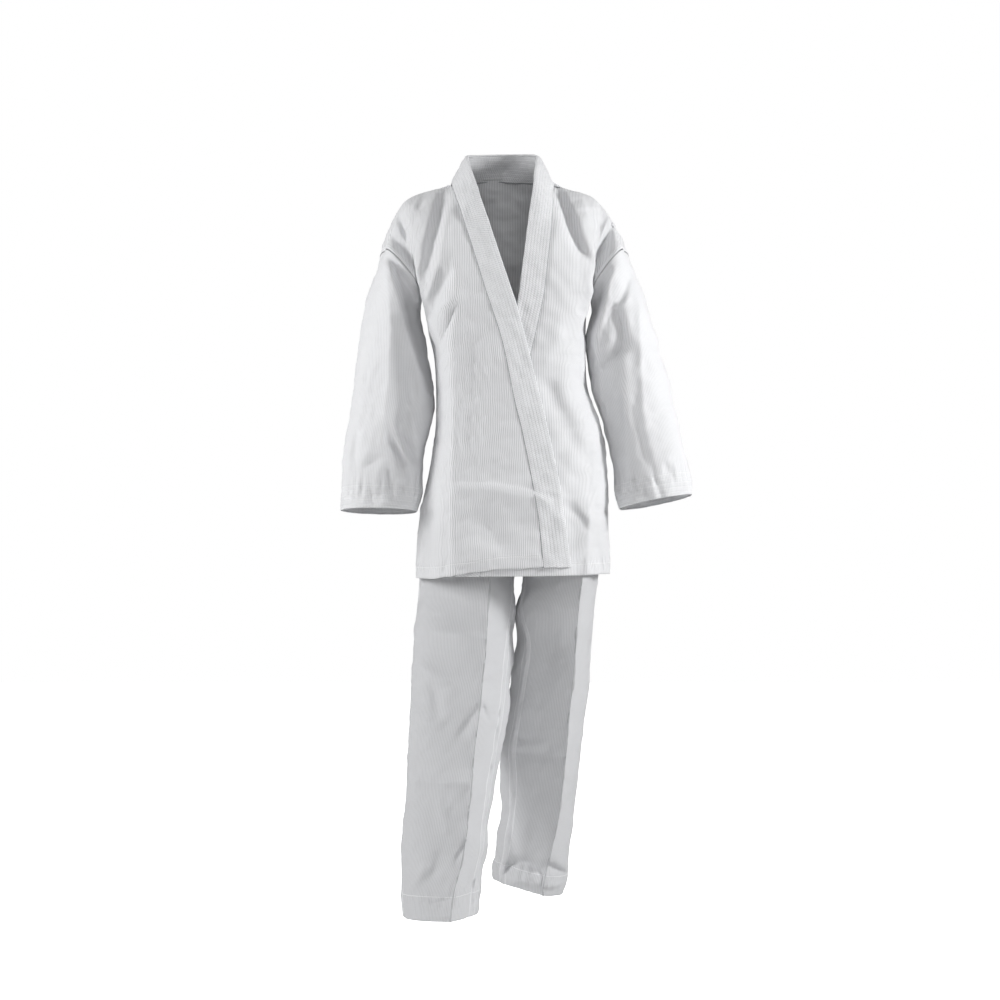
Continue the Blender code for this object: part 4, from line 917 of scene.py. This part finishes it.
def put(tree, value, socket):
    """Give a socket a number, a colour, or what another socket puts out."""
    if isinstance(value, (int, float)):
        socket.default_value = value
    elif isinstance(value, tuple):
        socket.default_value = (*value, 1.0)
    else:
        tree.links.new(value, socket)


def maths(tree, operation, *values):
    node = tree.nodes.new("ShaderNodeMath")
    node.operation = operation
    for socket, value in zip(node.inputs, values):
        put(tree, value, socket)
    return node.outputs[0]


def plus(tree, first, second):
    return maths(tree, "ADD", first, second)


def minus(tree, first, second):
    return maths(tree, "SUBTRACT", first, second)


def times(tree, first, second):
    return maths(tree, "MULTIPLY", first, second)


def between(tree, value, low, high):
    return maths(tree, "MINIMUM", maths(tree, "MAXIMUM", value, low), high)


def smooth_step(tree, value, low, high):
    node = tree.nodes.new("ShaderNodeMapRange")
    node.interpolation_type = "SMOOTHSTEP"
    for label, number in (("Value", value), ("From Min", low), ("From Max", high)):
        put(tree, number, node.inputs[label])
    return node.outputs["Result"]


def noise(tree, place, scale, detail):
    node = tree.nodes.new("ShaderNodeTexNoise")
    for label, value in (("Vector", place), ("Scale", scale), ("Detail", detail)):
        put(tree, value, node.inputs[label])
    return node.outputs["Fac"]


def mixed_colours(tree, factor, first, second, clamped=True):
    node = tree.nodes.new("ShaderNodeMix")
    node.data_type = "RGBA"
    node.clamp_factor = clamped
    for label, value in (("Factor", factor), ("A", first), ("B", second)):
        put(tree, value, node.inputs[label])
    return node.outputs["Result"]


def rib_group():
    """Raised ribs along the cloth and the weave on them: a height, and how deep in a groove a place is."""
    tree, given, out = node_group(
        "woven ribs", [("Across", 0.0), ("Along", 0.0), ("Pitch", JACKET_PITCH)], ["Height", "Groove"],
    )
    place = tree.nodes.new("ShaderNodeCombineXYZ")
    put(tree, given["Across"], place.inputs["X"])
    put(tree, given["Along"], place.inputs["Y"])
    drift = noise(tree, place.outputs[0], 26.0, 2.0)
    wander = times(tree, minus(tree, drift, 0.5), 0.0012)
    rib = maths(tree, "DIVIDE", plus(tree, given["Across"], wander), given["Pitch"])
    wave = maths(tree, "ABSOLUTE", maths(tree, "SINE", times(tree, rib, pi)))
    groove = maths(tree, "POWER", minus(tree, 1.0, wave), 1.6)
    weft = maths(tree, "SINE", times(tree, given["Along"], 2 * pi / WEFT))
    thread = noise(tree, place.outputs[0], 900.0, 3.0)
    fine = plus(tree, times(tree, weft, 0.10), times(tree, thread, 0.35))
    put(tree, plus(tree, maths(tree, "POWER", wave, 0.6), fine), out["Height"])
    put(tree, groove, out["Groove"])
    return tree


def stitch_group():
    """One row of stitches. Distance is from an edge, Row is where the stitches lie, Along runs with them."""
    tree, given, out = node_group(
        "row of stitches",
        [("Distance", 0.0), ("Row", 0.0), ("Along", 0.0), ("Width", STITCH_WIDTH), ("Stitch", STITCH_LENGTH)],
        ["Thread", "Dent"],
    )
    away = maths(tree, "ABSOLUTE", minus(tree, given["Distance"], given["Row"]))
    share = maths(tree, "DIVIDE", away, given["Width"])
    line = minus(tree, 1.0, smooth_step(tree, share, 0.45, 1.0))
    beat = maths(tree, "FRACT", maths(tree, "DIVIDE", given["Along"], given["Stitch"]))
    off_middle = maths(tree, "ABSOLUTE", minus(tree, beat, 0.5))
    dash = minus(tree, 1.0, smooth_step(tree, off_middle, 0.34, 0.44))
    put(tree, times(tree, line, dash), out["Thread"])
    put(tree, minus(tree, 1.0, smooth_step(tree, share, 0.6, 2.6)), out["Dent"])
    return tree


def tone_group():
    """Slow and fine changes of tone over undyed white cloth, with the odd slub."""
    tree, given, out = node_group("cloth tone", [("Vector", None)], ["Tone", "Slub"])
    slow = noise(tree, given["Vector"], 14.0, 3.0)
    fine = noise(tree, given["Vector"], 420.0, 2.0)
    put(tree, plus(tree, times(tree, slow, 0.6), times(tree, fine, 0.4)), out["Tone"])
    put(tree, smooth_step(tree, fine, 0.62, 0.74), out["Slub"])
    return tree


GROUPS = {"ribs": rib_group(), "stitches": stitch_group(), "tone": tone_group()}


def placed(tree, name, inputs):
    """One of the shared groups with its inputs, and what it puts out."""
    node = tree.nodes.new("ShaderNodeGroup")
    node.node_tree = GROUPS[name]
    for label, value in inputs.items():
        put(tree, value, node.inputs[label])
    return node.outputs


def new_material(name):
    material = bpy.data.materials.new(name)
    material.use_nodes = True
    return material, material.node_tree, material.node_tree.nodes["Principled BSDF"]


def coordinates(tree, layer):
    """A texture layer's two coordinates, and both as one vector."""
    whole = tree.nodes.new("ShaderNodeUVMap")
    whole.uv_map = layer
    parts = tree.nodes.new("ShaderNodeSeparateXYZ")
    put(tree, whole.outputs[0], parts.inputs[0])
    return parts.outputs["X"], parts.outputs["Y"], whole.outputs[0]


def cloth_finish(tree, shader, shade, thread, slub, height, bump_strength):
    """What every cloth here shares: pale thread on its colour, a dull sheen, and a bump from its height."""
    sewn = mixed_colours(tree, times(tree, thread, 0.8), shade, THREAD_WHITE)
    put(tree, sewn, shader.inputs["Base Color"])
    put(tree, plus(tree, 0.80, times(tree, slub, 0.10)), shader.inputs["Roughness"])
    shader.inputs["Specular IOR Level"].default_value = 0.25
    shader.inputs["Sheen Weight"].default_value = 0.12
    shader.inputs["Sheen Roughness"].default_value = 0.5
    bump = tree.nodes.new("ShaderNodeBump")
    bump.inputs["Strength"].default_value = bump_strength
    bump.inputs["Distance"].default_value = 0.0005
    put(tree, height, bump.inputs["Height"])
    put(tree, bump.outputs["Normal"], shader.inputs["Normal"])


def white_cloth(name, pitch, groove_shade, colour, hem, rows=(), side_stitch=True, painted_seam_shade=2.0):
    """Ribbed white cloth. The first texture layer runs across and up from the hem, the second is the distance
    from the side seam and from the top seam. Painted shade darkens the grooves between the ribs and a thin
    line along the seams."""
    material, tree, shader = new_material(name)
    across, along, place = coordinates(tree, "cloth")
    from_side, from_top, _ = coordinates(tree, "edges")
    ribs = placed(tree, "ribs", {"Across": across, "Along": along, "Pitch": pitch})
    tone = placed(tree, "tone", {"Vector": place})
    hem_row = (hem - HEM_ROW,) if hem else ()
    lines = [(along, row, across) for row in hem_row + rows]
    if side_stitch:
        lines.append((from_side, FELL - FELL_ROW, along))
    thread, dent = 0.0, 0.0
    for distance, row, way in lines:
        stitch = placed(tree, "stitches", {"Distance": distance, "Row": row, "Along": way})
        thread = maths(tree, "MAXIMUM", thread, stitch["Thread"])
        dent = maths(tree, "MAXIMUM", dent, stitch["Dent"])
    # Painted shade darkens the grooves between the ribs, less on a felled seam, which presses them flat.
    off_seam = smooth_step(tree, from_side, FELL - 0.001, FELL + 0.001)
    pressed_flat = plus(tree, 0.25, times(tree, off_seam, 0.75))
    depth = times(tree, times(tree, ribs["Groove"], groove_shade), pressed_flat)
    # A thin line of painted shade along the side and top seams, where the seam's groove is shaded.
    if painted_seam_shade:
        near_seam = maths(tree, "MINIMUM", from_side, from_top)
        line = minus(tree, 1.0, smooth_step(tree, near_seam, 0.0004, 0.0014))
        depth = plus(tree, depth, times(tree, line, painted_seam_shade))
    # The cloth's random tone adds to the painted shade, and both darken the colour towards a darker white.
    worn = times(tree, minus(tree, tone["Tone"], 0.42), 0.35)
    shade_and_tone_colour = tuple(0.80 * value for value in colour)
    depth = between(tree, plus(tree, depth, worn), 0.0, 2.0)
    shade = mixed_colours(tree, depth, colour, shade_and_tone_colour, clamped=False)
    height = minus(tree, times(tree, ribs["Height"], 0.5), times(tree, dent, 0.9))
    height = plus(tree, height, times(tree, thread, 0.8))
    cloth_finish(tree, shader, shade, thread, tone["Slub"], height, 0.55)
    return material


def band_cloth():
    """The collar band: ribs that cross it at a slant are pressed flat under its rows of stitching. Painted
    shade darkens its grooves, the dents of its stitches and a line along its seam edge.
    """
    material, tree, shader = new_material("stitched band")
    across, along, place = coordinates(tree, "cloth")
    ribs_across, ribs_along = (
        maths(tree, "MULTIPLY_ADD", across, share_across, times(tree, along, share_along))
        for share_across, share_along in ((0.50, 0.866), (0.866, -0.50))
    )
    ribs = placed(tree, "ribs", {"Across": ribs_across, "Along": ribs_along, "Pitch": BAND_PITCH})
    tone = placed(tree, "tone", {"Vector": place})
    step = maths(tree, "DIVIDE", minus(tree, across, BAND_ROWS[0]), BAND_ROW_GAP)
    near = times(tree, minus(tree, step, maths(tree, "ROUND", step)), BAND_ROW_GAP)
    stitch = placed(tree, "stitches", {"Distance": near, "Row": 0.0, "Along": along})
    broken = times(tree, minus(tree, noise(tree, place, 520.0, 1.0), 0.5), 3.0)
    # Painted shade: the grooves between the ribs and the dents of the stitches are darkened.
    groove = plus(tree, times(tree, ribs["Groove"], 1.3), times(tree, stitch["Dent"], 0.45))
    groove = times(tree, groove, plus(tree, 1.0, broken))
    # A line of painted shadow along the seam edge, where the band stands above the front.
    seam = minus(tree, 1.0, smooth_step(tree, across, 0.0006, 0.0024))
    groove = maths(tree, "MULTIPLY_ADD", seam, 3.0, groove)
    worn = times(tree, minus(tree, tone["Tone"], 0.42), 0.4)
    groove = between(tree, plus(tree, groove, worn), 0.0, 3.2)
    shade = mixed_colours(tree, groove, BAND_WHITE, BAND_SHADE, clamped=False)
    height = minus(tree, times(tree, ribs["Height"], 0.4), times(tree, stitch["Dent"], 0.8))
    height = plus(tree, height, times(tree, stitch["Thread"], 0.7))
    cloth_finish(tree, shader, shade, stitch["Thread"], tone["Slub"], height, 0.6)
    return material


# The pieces.


def finish_piece(piece, node):
    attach(piece, "root")
    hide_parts(node)


def make_front(name):
    yoke = YOKES[name]
    grid = front_grid(name)
    up = run(grid, 0)
    from_top = up[-1:] - up
    from_band = run(grid, 1)
    from_side = from_band[:, -1:] - from_band
    if name == "right":
        grid, up, from_top, from_side, from_band = flipped(grid, up, from_top, from_side, from_band)
    grain = upright_grain(grid, yoke["grain"])
    fade = ramp(from_top, 0.0, 0.020) * ramp(from_side, 0.0, 0.020)
    past_armhole = np.maximum(ramp(from_side, 0.0, 0.014), armhole_share(grid[..., 2]))
    fold_fade = ramp(from_top, 0.0, 0.009) * past_armhole
    grid = pressed(grid, False, FRONT_FOLDS, (), JACKET_WAVES, fade, fold_fade=fold_fade)
    lift = seam_form(from_side) - dip(from_top, 0.0009, 0.0016)
    lift = lift - 0.0030 * (1 - ramp(from_band, UNDER_BAND * 0.3, UNDER_BAND + 0.0006))
    lift = lift - dip(from_band - UNDER_BAND - 0.0015, 0.0012, 0.0022)
    lift = lift + hem_form(up, grain, JACKET_HEM, 21)
    if name == "right":
        lift = lift + wrap_lift(grid)
    grid = grid + normals(grid, False) * lift[..., None]
    label = "white ribbed cloth, " + name + " front"
    material = white_cloth(label, JACKET_PITCH, JACKET_GROOVE_SHADE, JACKET_WHITE, JACKET_HEM)
    edges = stacked(from_side, from_top)
    piece = make_sheet("front_" + name, grid, False, CLOTH, material, stacked(grain, up), edges)
    finish_piece(piece, "jacket_front_" + name)


def make_back():
    grid = back_grid()
    grain = upright_grain(grid, 0.010)
    up = run(grid, 0)
    across = run(grid, 1)
    from_side = np.minimum(across, across[:, -1:] - across)
    from_top = up[-1:] - up
    grid, up, from_top, from_side, grain = flipped(grid, up, from_top, from_side, grain)
    fade = ramp(from_top, 0.0, 0.020) * ramp(from_side, 0.0, 0.020)
    grid = pressed(grid, False, (), BACK_FOLDS, 13, fade)
    lift = seam_form(from_side) - dip(from_top, 0.0009, 0.0016) + hem_form(up, grain, JACKET_HEM, 22)
    grid = grid + normals(grid, False) * lift[..., None]
    material = white_cloth("white ribbed cloth, back", JACKET_PITCH, JACKET_GROOVE_SHADE, JACKET_WHITE, JACKET_HEM)
    piece = make_sheet("back", grid, False, CLOTH, material, stacked(grain, up), stacked(from_side, from_top))
    finish_piece(piece, "jacket_back")


def make_sleeve(name, front_folds, back_folds, seed):
    grid = sleeve_grid(name)
    down = run(grid, 0)
    from_cuff = down[-1:] - down
    ring = np.concatenate([grid, grid[:, :1]], axis=1)
    round_it = run(ring, 1)
    total = round_it[:, -1:]
    quarter = grid.shape[1] // 4
    across = (round_it[:, :-1] - round_it[:, quarter:quarter + 1]) / total * total.mean()
    from_seam = np.minimum(round_it[:, :-1], total - round_it[:, :-1])
    if name == "left":
        grid, down, from_cuff, across, from_seam = flipped(grid, down, from_cuff, across, from_seam)
        total = -total
    fade = ramp(down, 0.0, 0.024)
    start = (1 - ramp(down, 0.0, 0.011)) * armhole_share(grid[:1, :, 2]) * ramp(-grid[:1, :, 1], -0.02, 0.0)
    grid = pressed(grid, True, front_folds, back_folds, seed, fade)
    grid = pressed(grid, True, FRONT_FOLDS, (), seed, start, waves=0.0)
    if name == "left":
        inward = ramp(-normals(grid, True)[..., 0], 0.2, 0.8)
        down_arm = -grid[..., 2]
        grid[..., 0] -= 0.0042 * inward * ramp(down_arm, 0.19, 0.25) * (1 - ramp(down_arm, 0.34, 0.41))
    lift = hem_form(from_cuff, across, CUFF_HEM, seed, CUFF_ROWS, 0.0012)
    lift = lift - dip(down, 0.0006, 0.0020) - dip(from_seam, 0.0006, 0.0016)
    grid = grid + normals(grid, True) * lift[..., None]
    label = "white ribbed cloth, " + name + " sleeve"
    material = white_cloth(label, SLEEVE_PITCH, SLEEVE_GROOVE_SHADE, JACKET_WHITE, CUFF_HEM, CUFF_ROWS)
    cloth_uv = stacked(around(across, total), around(from_cuff, 0.0))
    edge_uv = stacked(around(from_seam, 0.0), around(down, 0.0))
    piece = make_sheet("sleeve_cloth_" + name, grid, True, CLOTH, material, cloth_uv, edge_uv)
    finish_piece(piece, "sleeve_" + name)


def make_band():
    grid = band_grid()
    normal = normals(grid, False)
    across = run(grid, 1)
    middle = run(grid, 0)[:, 25:26]
    right_rows = np.arange(len(grid))[:, None] < len(grid) // 2
    lift = BAND_PROUD + np.where(right_rows, wrap_lift(grid), 0.0)
    below_shoulder = 1 - ramp(grid[..., 2], -0.012, -0.002)
    grid = pressed(grid, False, FRONT_FOLDS, (), JACKET_WAVES, fold_fade=below_shoulder)
    flat_across = across / across[:, -1:] * BAND_WIDTH
    for row in BAND_ROWS:
        lift = lift - dip(flat_across - row, 0.00022, 0.0010)
    for edge in (flat_across, BAND_WIDTH - flat_across):
        lift = lift - dip(edge, 0.0016, 0.0012)
    lift = lift + pucker(middle + 0 * across, flat_across, 33, BAND_WIDTH / 2, 0.00022, 0.014)
    grid = grid + normal * lift[..., None]
    from_end = np.minimum(middle, middle[-1:] - middle) + 0 * across
    cloth_uv, edge_uv = stacked(flat_across, middle + 0 * across), stacked(flat_across, from_end)
    piece = make_sheet("band", grid, False, BAND, band_cloth(), cloth_uv, edge_uv)
    finish_piece(piece, "collar_band")


def make_leg(name, face, front_folds, back_folds, seed):
    grid = leg_grid(name, face)
    up = run(grid, 0)
    across = run(grid, 1)
    column = int(np.argmin(np.abs(leg_places(0.5) - 0.5)))
    grain = across - across[:, column:column + 1]
    from_outer, from_inner = across, across[:, -1:] - across
    if (name == "left") == (face > 0):
        grid, up, grain, from_outer, from_inner = flipped(grid, up, grain, from_outer, from_inner)
    fade = ramp(from_outer, 0.0, 0.010) * ramp(from_inner, 0.0, 0.010)
    grid = pressed(grid, False, front_folds, back_folds, seed, fade, waves=0.0011)
    lift = seam_form(from_inner, fell=0.0060, rolled=0.0) + seam_form(from_outer, fell=0.0070, rolled=0.0006)
    lift = lift + dip(from_inner, 0.0010, 0.0028) + pucker(up, from_inner, seed + 9, 0.002, 0.0009, 0.014)
    lift = lift + CREASE * np.exp(-np.abs(grain) / 0.0035)
    outer_side = from_outer - from_outer[:, column if from_outer[0, 0] == 0 else -1 - column][:, None]
    lift = lift - dip(outer_side + 0.0026, 0.0009, 0.0013)
    lift = lift + hem_form(up, grain, LEG_HEM, seed + 5)
    grid = grid + normals(grid, False) * lift[..., None]
    label = {1: "front", -1: "back"}[face]
    finish = "white trouser cloth, " + name + " " + label
    material = white_cloth(finish, TROUSER_PITCH, TROUSER_GROOVE_SHADE, TROUSER_SHADED_WHITE, LEG_HEM, painted_seam_shade=0.0)
    edges = np.minimum(from_inner, from_outer)
    edge_uv = stacked(edges, edges)
    piece = make_sheet("leg_" + label + "_" + name, grid, False, CLOTH, material, stacked(grain, up), edge_uv)
    finish_piece(piece, "trouser_" + label + "_" + name)


def make_waistband():
    grid = waistband_grid()
    up = run(grid, 0)
    round_it = run(np.concatenate([grid, grid[:, :1]], axis=1), 1)
    total = round_it[:, -1:]
    across = round_it[:, :-1]
    lift = -dip(up, 0.0006, 0.001) - dip(up[-1:] - up, 0.0006, 0.0015)
    lift = lift + pucker(across, up, 41, 0.02, 0.0008, 0.016)
    grid = grid + normals(grid, True) * lift[..., None]
    material = white_cloth(
        "white waistband cloth", WAISTBAND_PITCH, WAISTBAND_GROOVE_SHADE, BAND_WHITE, 0.0, WAISTBAND_ROWS,
        side_stitch=False,
    )
    cloth_uv = stacked(around(across, total), around(up, 0.0))
    piece = make_sheet("waistband_cloth", grid, True, WAISTBAND, material, cloth_uv, cloth_uv)
    finish_piece(piece, "waistband")


make_front("right")
make_front("left")
make_back()
make_sleeve("right", RIGHT_SLEEVE_FOLDS, RIGHT_SLEEVE_BACK, 14)
make_sleeve("left", LEFT_SLEEVE_FOLDS, LEFT_SLEEVE_BACK, 15)
make_band()
LEG_FOLDS = {"right": (RIGHT_LEG_FOLDS, RIGHT_LEG_BACK), "left": (LEFT_LEG_FOLDS, LEFT_LEG_BACK)}
for leg, (front_folds, back_folds) in LEG_FOLDS.items():
    make_leg(leg, 1, front_folds, (), 16)
    make_leg(leg, -1, (), back_folds, 17)
make_waistband()


# The studio.


def soft_light(name, place, target, size, power):
    light = bpy.data.lights.new(name, "AREA")
    light.shape = "RECTANGLE"
    light.size, light.size_y = size
    light.energy = power
    lamp = bpy.data.objects.new(name, light)
    lamp.location = place
    lamp.rotation_euler = (Vector(target) - Vector(place)).to_track_quat("-Z", "Y").to_euler()
    bpy.context.scene.collection.objects.link(lamp)


def studio_paper():
    """A wide sheet of pale paper under the hems. It glows a little, a painted light on the cloth beyond what
    it reflects, and looks plain white to the camera.
    """
    corners = [(-6.0, -5.0, FLOOR), (6.0, -5.0, FLOOR), (6.0, 6.0, FLOOR), (-6.0, 6.0, FLOOR)]
    mesh = bpy.data.meshes.new("studio_floor")
    mesh.from_pydata(corners, [], [(0, 1, 2, 3)])
    material, tree, shader = new_material("pale paper")
    shader.inputs["Base Color"].default_value = (0.80, 0.80, 0.80, 1.0)
    shader.inputs["Roughness"].default_value = 0.9
    shader.inputs["Emission Color"].default_value = (1.0, 1.0, 1.0, 1.0)
    seen = tree.nodes.new("ShaderNodeLightPath").outputs["Is Camera Ray"]
    put(tree, plus(tree, PAPER_GLOW, seen), shader.inputs["Emission Strength"])
    mesh.materials.append(material)
    floor = bpy.data.objects.new("studio_floor", mesh)
    bpy.context.scene.collection.objects.link(floor)


def make_room():
    """The room gives the cloth an even light, and is white where it is seen."""
    world = bpy.data.worlds.new("studio")
    world.use_nodes = True
    tree = world.node_tree
    background = tree.nodes["Background"].inputs
    background["Color"].default_value = (1.0, 1.0, 1.0, 1.0)
    seen = tree.nodes.new("ShaderNodeLightPath").outputs["Is Camera Ray"]
    strength = plus(tree, ROOM_LIGHT, times(tree, seen, 1.0 - ROOM_LIGHT))
    put(tree, strength, background["Strength"])
    bpy.context.scene.world = world


def make_camera():
    """A camera whose picture, 1000 pixels wide, shows PIXEL in each of them at its distance."""
    camera = bpy.data.cameras.new("camera")
    camera.sensor_width = 36.0
    camera.lens = camera.sensor_width * (DISTANCE / PIXEL) / 1000
    holder = bpy.data.objects.new("camera", camera)
    holder.location = (0.0, -DISTANCE, EYE)
    holder.rotation_euler = (pi / 2, 0.0, 0.0)
    bpy.context.scene.collection.objects.link(holder)
    bpy.context.scene.camera = holder


make_camera()
studio_paper()
for row in LIGHTS:
    soft_light(*row)
make_room()
bpy.context.scene.view_settings.view_transform = "Standard"
